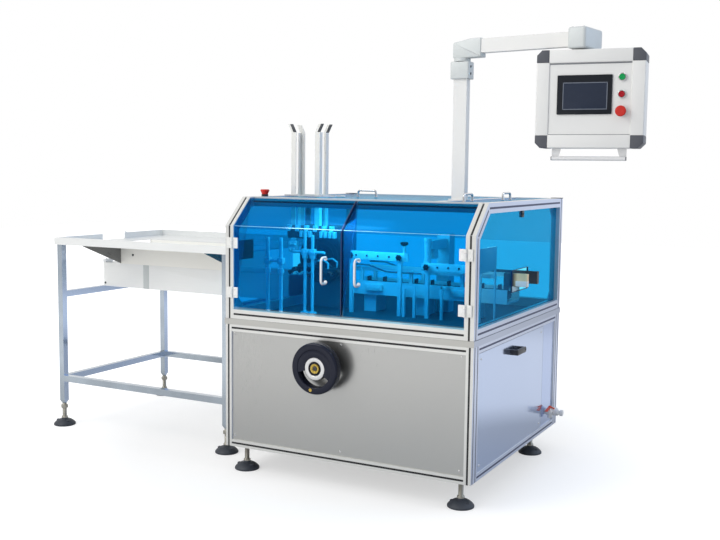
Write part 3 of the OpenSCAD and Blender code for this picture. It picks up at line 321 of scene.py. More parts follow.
def second_face(parts, index, color, roughness, metallic):
    """Faces that look along one axis (0 right, 2 up) get another colour, roughness and metallic; on right
    faces this is painted light, a copy of the finish that stands for the light and reflection on that side.
    """
    net, shader = parts
    normal = net.node("ShaderNodeNewGeometry", out=1)
    share = net.node("ShaderNodeSeparateXYZ", {}, {0: normal}, index).ramp(0.6, 0.9)
    for name, value in (("Base Color", color), ("Roughness", roughness), ("Metallic", metallic)):
        socket = shader.inputs[name]
        first = Value(net, socket.links[0].from_socket) if socket.links else socket.default_value
        blend = net.mix(share, first, value) if name == "Base Color" else first + share * (value - first)
        net.feed(socket, blend)


RIGHT, UP = 0, 2
along_z = (1.0, 1.0, 0.02)
level_lines = (0.02, 0.02, 1.0)
polished = dict(tone=0.03, grain=900.0, stretch=along_z, rough_spread=0.03)
machined = dict(tone=0.04, grain=300.0, stretch=level_lines, bump=0.06)
folded = dict(grain=380.0, bump=0.03, speck=0.03)
lens = dict(bump=0.05, grain=160.0, Specular_IOR_Level=0.25)
glazed = dict(grain=90.0, rough_spread=0.05, Specular_IOR_Level=0.25)

profile_made = coat("profile", (0.71, 0.71, 0.69), 0.34, 0.75, tone=0.03, grain=340.0, stretch=level_lines,
                    bump=0.06, speck=0.03)
# Painted light: faces of the profile that look right get a bluer copy, for the cool light on that side.
second_face(profile_made, RIGHT, (0.68, 0.73, 0.86), 0.30, 0.75)
strip_made = coat("strip", (0.012, 0.012, 0.014), 0.62, grain=500.0, bump=0.2)
# Painted light: right faces of the black strip get a dark blue copy, for the cool light on that side.
second_face(strip_made, RIGHT, (0.040, 0.052, 0.12), 0.45, 0.0)
panel_made = coat("stainless", (0.47, 0.47, 0.457), 0.28, 0.90, cloud=1.4, bump=0.006, speck=0.012,
                  **polished)
# Painted reflection: right faces of the stainless get a bluer, glossier copy, for the cool light reflected
# there.
second_face(panel_made, RIGHT, (0.50, 0.60, 0.86), 0.13, 0.92)
# Painted reflection: the side cover is a bluer, glossier copy of the stainless, for the cool light reflected
# on the right.
coat("stainless_side_painted_reflection", (0.565, 0.655, 0.86), 0.13, 0.92, cloud=1.2, bump=0.004, speck=0.010, **polished)
coat("plate", (0.50, 0.495, 0.47), 0.38, 0.70, **machined)
bed_made = coat("bed", (0.50, 0.495, 0.47), 0.38, 0.70, **machined)
second_face(bed_made, UP, (0.07, 0.075, 0.085), 0.52, 0.30)
# Painted light: right faces of the bed get a bluer copy, for the cool light on that side.
second_face(bed_made, RIGHT, (0.54, 0.58, 0.69), 0.30, 0.70)
coat("black_plastic", (0.014, 0.014, 0.017), 0.34, grain=420.0, bump=0.12)
coat("foot_rubber", (0.030, 0.036, 0.048), 0.55, grain=260.0, tone=0.10, bump=0.25)
coat("bright_steel", (0.66, 0.66, 0.66), 0.20, 1.0, tone=0.03, grain=300.0, bump=0.04)
coat("hinge", (0.74, 0.74, 0.72), 0.34, 0.25, tone=0.03, grain=200.0, bump=0.08)
coat("pull", (0.76, 0.76, 0.76), 0.25, 0.15, tone=0.03, grain=160.0, bump=0.05)
coat("machine_steel", (0.80, 0.81, 0.82), 0.34, 0.30, tone=0.05, grain=240.0, stretch=(0.03, 1.0, 1.0),
     bump=0.08)
coat("dark_steel", (0.060, 0.065, 0.075), 0.42, 0.30, tone=0.10, grain=120.0, bump=0.15)
coat("stand_grey", (0.20, 0.21, 0.23), 0.40, 0.40, tone=0.08, grain=120.0, bump=0.10)
coat("chain", (0.05, 0.052, 0.058), 0.40, 0.60, tone=0.12, grain=150.0, bump=0.2)
cream_net, cream_shader = coat("cream", (0.82, 0.62, 0.37), 0.45, tone=0.04, grain=120.0, bump=0.08)
# Painted shade: the guide is near black inside the guard and at the rear, as in shade; only the front end
# that stands out past the window keeps its cream.
unshaded_share = (cream_net.axis(0).ramp(0.873, 0.892) * (1.0 - cream_net.axis(1).ramp(0.04, 0.06))).clip()
cream_unshaded = Value(cream_net, cream_shader.inputs["Base Color"].links[0].from_socket)
cream_net.feed(cream_shader.inputs["Base Color"], cream_net.mix(unshaded_share, (0.035, 0.036, 0.042), cream_unshaded))
coat("white_plastic", (0.80, 0.80, 0.79), 0.40, tone=0.03, grain=160.0, bump=0.06)
# Painted highlight: the pale blue of the line of light along the door bends.
coat("painted_bend_highlight", (0.20, 0.47, 0.68), 0.35, tone=0.25, cloud=9.0, grain=160.0, bump=0.04)
coat("edge_dark", (0.006, 0.020, 0.075), 0.30, tone=0.08, grain=160.0, bump=0.04)
coat("cup", (0.30, 0.035, 0.025), 0.50, tone=0.10, grain=200.0, bump=0.15)
coat("cream_paint", (0.73, 0.73, 0.715), 0.38, tone=0.02, grain=700.0, bump=0.10, speck=0.02)
trough_made = coat("trough", (0.92, 0.905, 0.85), 0.36, 0.05, tone=0.03, cloud=2.0, grain=700.0, bump=0.06,
                   speck=0.02)
# Partly painted shade: the right-facing end plates are polished steel, and their dark grey stands for the
# shade under the tray.
second_face(trough_made, RIGHT, (0.22, 0.225, 0.23), 0.22, 0.95)
coat("stud_steel", (0.40, 0.385, 0.34), 0.34, 0.85, tone=0.08, grain=260.0, bump=0.08)
coat("casting", (0.56, 0.59, 0.59), 0.44, 0.10, tone=0.04, grain=420.0, bump=0.25)
coat("corner_grey", (0.075, 0.080, 0.095), 0.48, grain=500.0, bump=0.18)
coat("screen", (0.010, 0.012, 0.017), 0.22, tone=0.05, bump=0.02, **glazed)
coat("display", (0.022, 0.030, 0.052), 0.14, cloud=14.0, bump=0.01, **glazed)
coat("display_line", (0.13, 0.15, 0.19), 0.30, tone=0.05, grain=90.0, bump=0.02)
coat("green", (0.002, 0.30, 0.075), 0.28, **lens)
coat("red", (0.36, 0.003, 0.012), 0.28, **lens)
coat("stop_red", (0.55, 0.028, 0.020), 0.32, **lens)
coat("brass", (0.56, 0.40, 0.09), 0.28, 0.9, tone=0.05, grain=200.0, bump=0.08)
coat("wheel", (0.010, 0.012, 0.024), 0.13, tone=0.10, cloud=9.0, grain=220.0, bump=0.03,
     Specular_IOR_Level=0.22)
rail_made = coat("rail_steel", (0.72, 0.72, 0.69), 0.30, 0.12, tone=0.04, cloud=4.0, stretch=along_z,
                 **folded)
# Painted light: right faces of the rails get a paler, matte copy, for the light on that side.
second_face(rail_made, RIGHT, (0.86, 0.84, 0.80), 0.30, 0.0)
coat("orange", (0.62, 0.055, 0.015), 0.38, grain=140.0, bump=0.06)
table_made = coat("table_steel", (0.43, 0.485, 0.54), 0.12, 0.88, tone=0.30, cloud=5.0, stretch=along_z,
                  **folded)
# Painted reflection: right faces of the table get a bluer, glossier copy, for the cool light reflected on
# that side.
second_face(table_made, RIGHT, (0.53, 0.64, 0.84), 0.10, 0.92)
coat("box_steel", (0.88, 0.885, 0.87), 0.32, 0.15, tone=0.04, cloud=2.0, stretch=level_lines, **folded)
coat("tray_steel", (0.80, 0.81, 0.80), 0.32, 0.40, tone=0.04, cloud=2.0, stretch=level_lines, **folded)

# %% [markdown]
# Blue acrylic needs its own recipe. A clear sheet is a mix of two shaders: a transparent one, whose colour
# is the share of light that one face lets through, and a glossy one. The Fresnel factor picks between them,
# so the sheet mirrors more at a glancing angle. Each sheet has two faces, so the tint acts twice per sheet.
# A faint haze keeps the blue alive where the inside of the machine is dark.

# %% Acrylic
acrylic = bpy.data.materials.new("acrylic")
acrylic.use_nodes = True
sheet = Net(acrylic.node_tree)
gloss = acrylic.node_tree.nodes["Principled BSDF"]
haze = sheet.noise(5.0, detail=4.0)
sheet.feed(gloss.inputs["Base Color"], sheet.mix(haze, (0.020, 0.22, 0.46), (0.030, 0.27, 0.54)))
sheet.feed(gloss.inputs["Roughness"], 0.05 + haze * 0.06)
clear = sheet.node("ShaderNodeBsdfTransparent", {}, {"Color": (0.34, 0.805, 0.945)})
mirror = sheet.node("ShaderNodeFresnel", {}, {"IOR": 1.45})
share = (mirror * 0.30 + 0.018 + (haze - 0.5) * 0.03).clip()
surface = sheet.node("ShaderNodeMixShader", {}, {0: share, 1: clear, 2: Value(sheet, gloss.outputs[0])})
sheet.feed(acrylic.node_tree.nodes["Material Output"].inputs["Surface"], surface)
finish["acrylic"] = acrylic

slot_of = {part["node"]: part["material_slot"] for part in frame["record"]["subparts"]}
variant = {"side_cover": "stainless_side_painted_reflection", "table_tray": "tray_steel", "feed_box": "box_steel",
           "conveyor_stands": "machine_steel", "feeder_stand": "stand_grey", "bed_plate": "bed",
           "trough_plates": "trough", "magazine_rails": "rail_steel", "closing_unit": "machine_steel"}
for name, obj in frame["nodes"].items():
    obj.data.materials.clear()
    obj.data.materials.append(finish[variant.get(name, slot_of[name])])
print("finishes", len(finish))

# %% [markdown]
# ## Surfaces from two parameters
#
# Every new piece is a grid of points: a profile carried along a path, or a curve turned about an axis. A
# shape here is a pair, points in millimetres and faces. The grid's faces join neighbours, so no loop over
# points is needed. Poles and seams close when points that coincide are merged at the end.

# %% Shape helpers
ORDER = {"xy": [0, 1, 2], "xz": [0, 2, 1], "yz": [2, 0, 1]}


def grid(points, wrap_u=False, wrap_v=False, caps=False):
    """Quads between neighbours of a grid of points (rows, columns, 3); caps close the first and last row."""
    nu, nv = points.shape[:2]
    i = np.arange(nu if wrap_u else nu - 1)[:, None]
    j = np.arange(nv if wrap_v else nv - 1)[None, :]
    i2, j2 = (i + 1) % nu, (j + 1) % nv
    faces = np.stack([i * nv + j, i2 * nv + j, i2 * nv + j2, i * nv + j2], -1).reshape(-1, 4).tolist()
    if caps:
        faces += [list(range(nv)), list(range((nu - 1) * nv, nu * nv))]
    return points.reshape(-1, 3), faces


def joined(*shapes):
    """Several shapes as one."""
    starts = np.cumsum([0] + [len(p) for p, _ in shapes])
    faces = [[k + s for k in f] for (_, fs), s in zip(shapes, starts) for f in fs]
    return np.concatenate([p for p, _ in shapes]), faces


def moved(shape, *offsets):
    """Copies of a shape, one at each offset."""
    return joined(*[(shape[0] + np.array(o, float), shape[1]) for o in offsets])


def turned(shape, axis, degrees):
    """A shape turned about one axis through the origin."""
    return shape[0] @ np.array(Matrix.Rotation(np.radians(degrees), 3, axis)).T, shape[1]


def outline(corners, radius, steps=5):
    """Points and outward normals of a polygon with rounded corners: each corner becomes an arc whose
    normal turns evenly from one edge's to the next."""
    corners = np.array(corners, float)
    radius = np.broadcast_to(np.array(radius, float), len(corners))[:, None]
    before = corners - np.roll(corners, 1, 0)
    after = np.roll(before, -1, 0)
    before = before / np.linalg.norm(before, axis=1, keepdims=True)
    after = after / np.linalg.norm(after, axis=1, keepdims=True)
    cross = before[:, 0] * after[:, 1] - before[:, 1] * after[:, 0]
    turn = np.arctan2(cross, (before * after).sum(1))[:, None]
    start = np.arctan2(-before[:, 0], before[:, 1])[:, None]
    angle = start + turn * np.linspace(0, 1, steps)
    normal = np.stack([np.cos(angle), np.sin(angle)], -1)
    side = np.sign(turn) * radius
    centre = corners - before * radius * np.abs(np.tan(turn / 2)) - side * normal[:, 0]
    points = centre[:, None] + side[:, :, None] * normal
    return points.reshape(-1, 2), normal.reshape(-1, 2)


def prism(corners, low, high, radius=2.0, edge=1.0, plane="xy"):
    """A rounded outline carried from low to high. Near both ends it draws in along its own normals on a
    quarter circle, which rounds the edge."""
    points, normals = outline(corners, radius)
    a = np.linspace(0, np.pi / 2, 4)
    drawn = np.concatenate([edge * (1 - np.sin(a)), edge * (1 - np.sin(a[::-1]))])
    depth = np.concatenate([low + edge * (1 - np.cos(a)), high - edge * (1 - np.cos(a[::-1]))])
    flat = points[None] - drawn[:, None, None] * normals[None]
    rows = np.concatenate([flat, np.broadcast_to(depth[:, None, None], (*flat.shape[:2], 1))], -1)
    return grid(rows[..., ORDER[plane]], wrap_v=True, caps=True)


def block(low, high, radius=2.0, edge=1.0, plane="xy"):
    """A rounded box between two corners; plane names the face whose corners get the larger radius."""
    u, v = ["xyz".index(c) for c in plane]
    w = 3 - u - v
    (a, b), (c, d) = (low[u], high[u]), (low[v], high[v])
    return prism([(a, c), (b, c), (b, d), (a, d)], low[w], high[w], radius, edge, plane)


def lathe(profile, steps=40, wrap=False):
    """A profile of radius and height turned about Z."""
    r, h = np.array(profile, float).T
    a = np.linspace(0, 2 * np.pi, steps, endpoint=False)
    height = np.broadcast_to(h[:, None], (len(r), steps))
    points = np.stack([r[:, None] * np.cos(a), r[:, None] * np.sin(a), height], -1)
    return grid(points, wrap_u=wrap, wrap_v=True)


def ring(low, high, radius, corner_steps, steps):
    """A turned ring about Z whose section is a rounded box from (radius, height) low to high."""
    (a, b), (c, d) = low, high
    return lathe(outline([(a, b), (c, b), (c, d), (a, d)], radius, corner_steps)[0], steps, wrap=True)


def tube(corners, bend, r, plane="xz", steps=16):
    """A round rod along a flat line of corners with bends: point = path + r (cos a side + sin a across)."""
    corners = np.array(corners, float)
    arcs = 7
    path, _ = outline(corners, np.r_[0, np.full(len(corners) - 2, bend), 0], arcs)
    path = path[arcs - 1:-(arcs - 1)]
    run = np.gradient(path, axis=0)
    run /= np.linalg.norm(run, axis=1, keepdims=True)
    a = np.linspace(0, 2 * np.pi, steps, endpoint=False)
    flat = path[:, None] + r * np.cos(a)[None, :, None] * np.stack([-run[:, 1], run[:, 0]], -1)[:, None]
    across = np.broadcast_to(r * np.sin(a)[None, :, None], (*flat.shape[:2], 1))
    return grid(np.concatenate([flat, across], -1)[..., ORDER[plane]], wrap_v=True, caps=True)


def hexagon(profile, steps=48):
    """A nut or bolt head about Z: rows of (half width across flats, limit radius, height); the radius is
    the flat's distance over the cosine of the angle from its middle, cut off at the limit."""
    half, limit, h = np.array(profile, float).T[:, :, None]
    a = np.linspace(0, 2 * np.pi, steps, endpoint=False)
    flat = half / np.cos((a + np.pi / 6) % (np.pi / 3) - np.pi / 6)
    r = np.minimum(flat, limit)
    points = np.stack([r * np.cos(a), r * np.sin(a), np.broadcast_to(h, r.shape)], -1)
    return grid(points, wrap_v=True, caps=True)


def thread(r, length, pitch=2.5, depth=0.8, steps=20):
    """A threaded rod about Z: the radius falls and rises once per pitch, shifted by the angle."""
    h = np.linspace(0, length, int(length / pitch * 5))[:, None]
    a = np.linspace(0, 2 * np.pi, steps, endpoint=False)[None]
    wave = np.abs((h / pitch - a / (2 * np.pi)) % 1 * 2 - 1)
    rr = r - depth * wave
    return grid(np.stack([rr * np.cos(a), rr * np.sin(a), h + 0 * a], -1), wrap_v=True, caps=True)


def screw(r, h, steps=24):
    """A button head screw about Z, standing on z = 0, with a hexagon socket."""
    a = np.linspace(0, np.pi / 2, 5)
    dome = np.stack([r * (0.55 + 0.45 * np.cos(a)), h * np.sin(a)], -1)
    socket = [[0.50 * r, h], [0.42 * r, 0.3 * h], [0, 0.3 * h]]
    return lathe(np.concatenate([[[0, -0.3], [r, -0.3]], dome, socket]), steps)


# %% [markdown]
# A piece goes into the scene in one call: its shapes are joined, moved from the drawing into the frame,
# merged, given outward faces and smooth shading up to 35 degrees, and tied to the CAD body it rides on.


# %% Placing pieces
def cabinet(points):
    """Drawing millimetres to frame metres."""
    return corner + points * MM


POST = np.array([888.0, 400.0, 0.0])
ARM_LENGTH, ARM_TURN, PANEL_TURN = 528.0, np.radians(-8.1), np.radians(7.0)


def spun(points, a):
    """Points turned by an angle about Z."""
    return points @ np.array([[np.cos(a), -np.sin(a), 0], [np.sin(a), np.cos(a), 0], [0, 0, 1]]).T


def arm_frame(points):
    """Millimetres along the arm, from the post's axis, to frame metres."""
    return cabinet(spun(points, ARM_TURN) + POST)


def panel_frame(points):
    """Millimetres on the control panel, x from its middle and y from its front, to frame metres."""
    pin = POST + ARM_LENGTH * np.array([np.cos(ARM_TURN), np.sin(ARM_TURN), 0.0])
    return cabinet(spun(points + np.array([33.0, -75.0, 0.0]), PANEL_TURN) + pin)


made = []
SMOOTH_UP_TO = 35.0


def piece(name, slot, body, shapes, where=cabinet, replaces=(), look=None):
    """Adds one object made of shapes, in a slot's finish or a variant of it, riding on a body."""
    points, faces = joined(*shapes)
    mesh = bpy.data.meshes.new(name)
    mesh.from_pydata(where(points).tolist(), [], faces)
    work = bmesh.new()
    work.from_mesh(mesh)
    bmesh.ops.remove_doubles(work, verts=work.verts, dist=1e-6)
    bmesh.ops.dissolve_degenerate(work, edges=work.edges, dist=1e-7)
    bmesh.ops.recalc_face_normals(work, faces=work.faces)
    work.to_mesh(mesh)
    work.free()
    mesh.polygons.foreach_set("use_smooth", np.ones(len(mesh.polygons), bool))
    mesh.set_sharp_from_angle(angle=np.radians(SMOOTH_UP_TO))
    mesh.materials.append(finish[look or slot])
    obj = bpy.data.objects.new(name, mesh)
    scene.collection.objects.link(obj)
    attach(obj, body)
    if replaces:
        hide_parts(*replaces)
    made.append((name, len(mesh.polygons)))
    print(name, len(mesh.polygons), "faces")


def fixed(name, slot, shapes, **more):
    """A piece that stands still, on the machine's own body."""
    piece(name, slot, "machine", shapes, **more)


def on_panel(name, slot, shapes, **more):
    """A piece of the control panel, drawn on the panel's face."""
    piece(name, slot, "panel", shapes, panel_frame, **more)


def facing_front(shape):
    """A shape about Z turned so that +Z looks to the front."""
    return turned(shape, "X", 90)


def facing_right(shape):
    """A shape about Z turned so that +Z looks to the right."""
    return turned(shape, "Y", 90)


def front_screws(r, h, *spots):
    """Screws that look to the front, one at each spot."""
    return moved(facing_front(screw(r, h)), *spots)


def right_screws(r, h, *spots):
    """Screws that look to the right."""
    return moved(facing_right(screw(r, h)), *spots)


# %% [markdown]
# ## Handwheel
#
# The handwheel turns the machine over by hand. Its black phenolic rim is deep, with a flat face and round
# edges. A thick web joins it to the boss, open at the bottom. A bright steel ring and a brass bush with
# a dark socket screw close the boss, and a brass plug in the rim marks the handle's seat. All of it is
# turned work: profiles of radius and depth about the axis; the web is part of a turn.

# %% Handwheel
wheel_x, wheel_z, wheel_face = 474, 501, -70
rim = ring((76, 0), (104, 44), [4, 9, 12, 4], 8, 72)
boss_points, _ = outline([(1, 13), (48, 13), (48, 42), (1, 42)], [0.5, 5, 5, 0.5], 6)
boss = lathe(np.concatenate([[[0, 13]], boss_points[6:-6], [[0, 42]]]), 56)


def web(start, stop, steps=48):
    """Part of a ring: a rounded section between boss and rim carried from one angle to another."""
    section, _ = outline([(45, 3), (79, 3), (79, 26), (45, 26)], 2.5, 4)
    a = np.radians(np.linspace(start, stop, steps))[:, None]
    r, h = section[:, 0][None], section[:, 1][None]
    return grid(np.stack([r * np.cos(a), r * np.sin(a), h + 0 * a], -1), wrap_v=True, caps=True)


def on_wheel(shape):
    """Depth behind the wheel's face runs along +Y."""
    return moved(turned(shape, "X", -90), (wheel_x, wheel_face, wheel_z))


piece("wheel_rim", "wheel", "handwheel", [on_wheel(s) for s in [rim, boss, web(166, 392)]],
      replaces=["handwheel"])
hub_ring = ring((28.5, 6), (47, 13.2), [1.5, 3.5, 0.5, 0.5], 6, 64)
sleeve = lathe([(0, 38), (22, 38), (22, 53), (20.5, 54), (14, 54), (14, 69.5), (0, 70)], 40)
piece("wheel_ring", "bright_steel", "handwheel", [on_wheel(hub_ring), on_wheel(sleeve)],
      replaces=["wheel_hub"])
bush = lathe([(0, 13), (20.5, 13), (20.5, 8.0), (18.5, 5), (13.5, 5), (10.5, 8), (10.5, 10), (0, 10)], 48)
plug_r, plug_a = 87.5, np.radians(100)
plug = moved(lathe([(0, 1), (7, 1), (7, -0.4), (6.4, -1), (3, -1), (2.6, -0.2), (0, -0.2)], 28),
             (plug_r * np.cos(plug_a), plug_r * np.sin(plug_a), 0))
piece("wheel_bush", "brass", "handwheel", [on_wheel(bush), on_wheel(plug)], replaces=["wheel_brass"])
wheel_screw = turned(moved(screw(9.5, 3.4), (0, 0, -10)), "X", 180)
piece("wheel_screw", "dark_steel", "handwheel", [on_wheel(wheel_screw)])

# %% [markdown]
# ## Levelling feet
#
# Eight feet carry the machine: a domed pad with a thick rim and two bolt-down lugs, a threaded stud, a
# bright ring on the pad and a lock nut under the frame. The pad is a turned profile. The thread is a rod
# whose radius goes down and up once per pitch while the crest moves round with the angle.

# %% Feet
feet_cabinet = [(x, y) for x in (64, 1056) for y in (66, 913)]
feet_table = [(x, y) for x in (-1145, -153) for y in (220, 1001)]
a = np.linspace(0, 1, 9)
dome = np.stack([52 - 36 * a ** 1.15, 9 + 21 * np.sin(a * np.pi / 2)], -1)
edge = [[0, 0], [50, 0], [52.6, 1.5], [53, 4], [52.8, 7.5]]
socket = [[15, 31], [14, 38], [12, 40], [0, 40]]
pad = lathe(np.concatenate([edge, dome, socket]), 48)
lug = lathe([(0, 8), (9.5, 8), (9.5, 24.5), (8.4, 26), (4.8, 26), (4.4, 21), (0, 21)], 24)
lugs = moved(lug, (-31, -11, 0), (31, -11, 0))
pads = moved(joined(pad, lugs), *[(x, y, 0) for x, y in feet_cabinet + feet_table])
fixed("pads", "foot_rubber", [pads], replaces=["foot_pads"])
nut = hexagon([(14.7, 15.4, 0), (14.7, 17, 1.4), (14.7, 17, 14.6), (14.7, 15.4, 16)])
washer = lathe([(0, 12), (15, 12), (15, 18), (13.5, 20), (0, 20)], 32)
studs = []
for feet, length, nut_z in ((feet_cabinet, 108, 68.4), (feet_table, 86, 62)):
    stud = joined(thread(10.6, length), washer, moved(nut, (0, 0, nut_z)))
    studs.append(moved(stud, *[(x, y, 24) for x, y in feet]))
fixed("studs", "bright_steel", studs, replaces=["foot_studs"], look="stud_steel")

# %% [markdown]
# ## Doors
#
# The two doors are acrylic bent over a hot wire, so the bend has a small radius. A prism of the bent outline
# gives it, and the line of light that the bend catches is painted: a thin pale blue rod laid into the bend is
# a painted highlight. The closing edge of the left door is dark. Each door hangs on two hinges with thick
# leaves and has a bow pull near the middle.

# %% Doors
foot, knee, top = 703, 1052, 1167
slope = np.array([126, 118]) / np.hypot(126, 118)
bevel = np.array([slope[1], -slope[0]])


def bent_sheet(t):
    """Six corners of the bent sheet seen from the side: the inner line, set in by t, and then the outer one,
    both from the top down. In this order the outline crosses itself, a fault."""
    outer = np.array([0.0, knee])
    inner = outer + t * bevel
    inner_top, outer_top = [at + slope * (top - at[1]) / slope[1] for at in (inner, outer)]
    inner_knee = inner + slope * (t - inner[0]) / slope[0]
    return np.array([inner_top, inner_knee, [t, foot], outer_top, outer, [0, foot]])


sheet_corners = bent_sheet(6)
bends = [1.2, 9, 1.2, 1.2, 15, 1.2]
for name, x0, x1 in (("left_door", 43, 556), ("right_door", 564, 1077)):
    piece(name + "_sheet", "acrylic", name, [prism(sheet_corners, x0, x1, bends, 1, "yz")], replaces=[name])
    # Painted highlight: a thin pale rod in the bend stands for the line of light the bend catches.
    highlight_rod = lathe([(0, 0), (1.1, 0.5), (1.1, x1 - x0 - 0.5), (0, x1 - x0)], 12)
    piece(name + "_bend", "acrylic", name, [moved(facing_right(highlight_rod), (x0, 1.2, 1051.5))], look="painted_bend_highlight")

rim_corners = bent_sheet(7) + np.array([-0.5, 0])
piece("left_door_rim", "acrylic", "left_door", [prism(rim_corners, 552.5, 556.4, bends, 0.6, "yz")],
      look="edge_dark")

pull = moved(tube([(0, 0), (-37, 0), (-37, 104), (0, 104)], 16, 5, "yz"), (0, 0, 837))
flange = facing_front(lathe([(0, 0), (7.5, 0), (7.5, 2), (6.5, 3), (0, 3)], 28))
flanges = moved(flange, (0, 0, 842), (0, 0, 936))


def leaf(side, knuckles):
    """Half a hinge: a thick leaf with round corners, its knuckles and two screws."""
    x0, x1 = sorted((side * 0.8, side * 27.6))
    plate = block((x0, 2, -22.5), (x1, 8, 22.5), 3, 1.2, "xz")
    rolls = []
    for z, h in knuckles:
        roll = lathe([(0, 0), (5.4, 0), (6, 0.6), (6, h - 0.6), (5.4, h), (0, h)], 28)
        rolls.append(moved(roll, (0, 0, z)))
    heads = front_screws(4.2, 1, (side * 15, 2, 12), (side * 15, 2, -12))
    return joined(plate, *rolls, heads)


def leaves(side, knuckles, pin):
    """The same half of both hinges of a door, on its pin."""
    return moved(leaf(side, knuckles), (pin, -8, 772), (pin, -8, 980))


PIN_LEFT, PIN_RIGHT = 36, 1084
outer_knuckles, middle_knuckle = [(-22.5, 14.6), (7.9, 14.6)], [(-7.2, 14.4)]
fixed("hinges_fixed", "hinge", [leaves(-1, outer_knuckles, PIN_LEFT), leaves(1, outer_knuckles, PIN_RIGHT)],
      replaces=["door_hinges"])
for body, pin, side, x in (("left_door", PIN_LEFT, 1, 485), ("right_door", PIN_RIGHT, -1, 635)):
    bow = moved(joined(pull, flanges), (x, 0, 0))
    piece(body + "_fittings", "pull", body, [leaves(side, middle_knuckle, pin), bow],
          replaces=[body.split("_")[0] + "_hardware"])

# %% [markdown]
# ## Handles
#
# Bent rod again: low bridge handles on the lift-off top covers, a moulded bridge handle on the side cover,
# and the control panel's handle, a tube between two brackets with dark end plugs.


# %% Handles
def bridge(half):
    """A bridge handle along X: bent rod on two flanges."""
    rod = tube([(-half, 0), (-half, 29), (half, 29), (half, 0)], 11, 5, "xz")
    foot = lathe([(0, 0), (8.5, 0), (8.5, 2), (7, 3.2), (0, 3.2)], 24)
    return joined(rod, moved(foot, (-half, 0, 0), (half, 0, 0)))


grips = [moved(turned(bridge(45), "Z", 90), (985, 252, 1170), (1021, 600, 1170)),
         moved(bridge(45), (392, 530, 1170))]
fixed("cover_grips", "bright_steel", grips, replaces=["top_handles"])

side_bar = block((1139, 424, 540), (1149, 536, 564), 9, 3.5, "yz")
side_feet = [block((1117, y, 541), (1143, y + 16, 563), 4, 1, "yz") for y in (424.5, 519.5)]
side_caps = right_screws(5, 1, (1149, 433, 552), (1149, 527, 552))
fixed("side_grip", "black_plastic", [side_bar, *side_feet, side_caps], replaces=["cover_handle"])

grip = lathe([(0, 0), (7.2, 0), (8, 1), (8, 271), (7.2, 272), (0, 272)], 28)
grip = moved(facing_right(grip), (-136, 22, 1341))
bracket = np.array([(136, 1334), (136, 1379), (104, 1379), (112, 1352), (122, 1334)])
brackets = [prism((bracket * (s, 1))[::-s], 30, 35, 3, 1, "xz") for s in (-1, 1)]
on_panel("panel_grip", "bright_steel", [grip, *brackets], replaces=["panel_handle"], look="pull")
plug = lathe([(0, 0), (6.4, 0), (7.4, 1.2), (7.4, 3), (0, 3)], 24)
plugs = [moved(turned(plug, "Y", 90 * s), (135.5 * s, 22, 1341)) for s in (1, -1)]
on_panel("grip_plugs", "black_plastic", plugs)

# %% [markdown]
# ## Control panel and arm
#
# The panel's case is made from edge profiles with softened edges, corner pieces in grey plastic and a face
# plate. The castings on the arm have generous radii, as sand castings do, and set screws on the collar.

# %% Panel and arm
w, h0, h1, e = 198, 1379, 1741, 47
bars = [block((-w, 0, h0 + e), (-w + e + 2, 120, h1 - e), 4, 1, "xy"),
        block((w - e - 2, 0, h0 + e), (w, 120, h1 - e), 4, 1, "xy"),
        block((-w + e, 0, h1 - e - 2), (w - e, 120, h1), 4, 1, "yz"),
        block((-w + e, 0, h0), (w - e, 120, h0 + e + 2), 4, 1, "yz")]
back = block((-w + e, 8, h0 + e), (w - e, 118, h1 - e), 2, 1, "xz")
spigot = moved(lathe([(0, 0), (18, 0), (18, 23), (17, 24), (0, 24)], 32), (-33, 75, h1))
on_panel("panel_frame_bars", "cream_paint", [*bars, back, spigot], replaces=["panel_case"])


def corner_piece(sx, sz):
    """A corner of the case: a square with its outer corner cut off."""
    x, z = sx * w, (h0 + h1) / 2 + sz * (h1 - h0) / 2
    points = [(x - sx * e, z - sz * e), (x, z - sz * e), (x, z - sz * 19), (x - sx * 19, z), (x - sx * e, z)]
    return prism(points[::int(sx * sz)], -0.2, 120, 3, 2.5, "xz")


case_corners = [corner_piece(sx, sz) for sx in (-1, 1) for sz in (-1, 1)]
on_panel("case_corners", "corner_grey", case_corners, replaces=["panel_corners"])

elbow_side = [(-32.5, 1744), (96, 1744), (96, 1820), (48, 1820), (-32.5, 1807)]
elbow = prism(elbow_side, -22.5, 22.5, [6, 3, 4, 30, 8], 4, "xz")
neck = lathe([(0, -24), (17, -24), (18, -23), (18, 0), (34, 0), (34, 12.5), (32, 14), (0, 14)], 48)
neck = moved(neck, (0, 0, 1731))
cap = block((492, -82, 1745), (564, 82, 1824), 12, 8, "xy")
cap_neck = moved(lathe([(18.1, 0), (34, 0), (34, 5), (18.1, 5)], 48, wrap=True), (ARM_LENGTH, 0, 1742))
piece("arm_ends", "casting", "arm", [elbow, neck, cap, cap_neck], arm_frame, replaces=["arm_castings"])
collar = block((847.5, 369.5, 1661), (928.5, 430.5, 1730), 7, 3, "xy")
fixed("collar", "casting", [collar], replaces=["post_collar"])
fixed("collar_screws", "dark_steel", [right_screws(5.5, 2.5, (928.3, 392, 1682), (928.3, 392, 1710))])
lid = moved(screw(5, 2), *[(ARM_LENGTH + dx, dy, 1824) for dx in (-22, 22) for dy in (-66, 66)])
piece("cap_screws", "bright_steel", "arm", [lid], arm_frame)

# %% [markdown]
# The operator's side of the panel: a screen in a dark bezel, a green and a red push button in steel
# collars, and a mushroom-headed stop. The screen is off; a slightly raised line frames the glass.

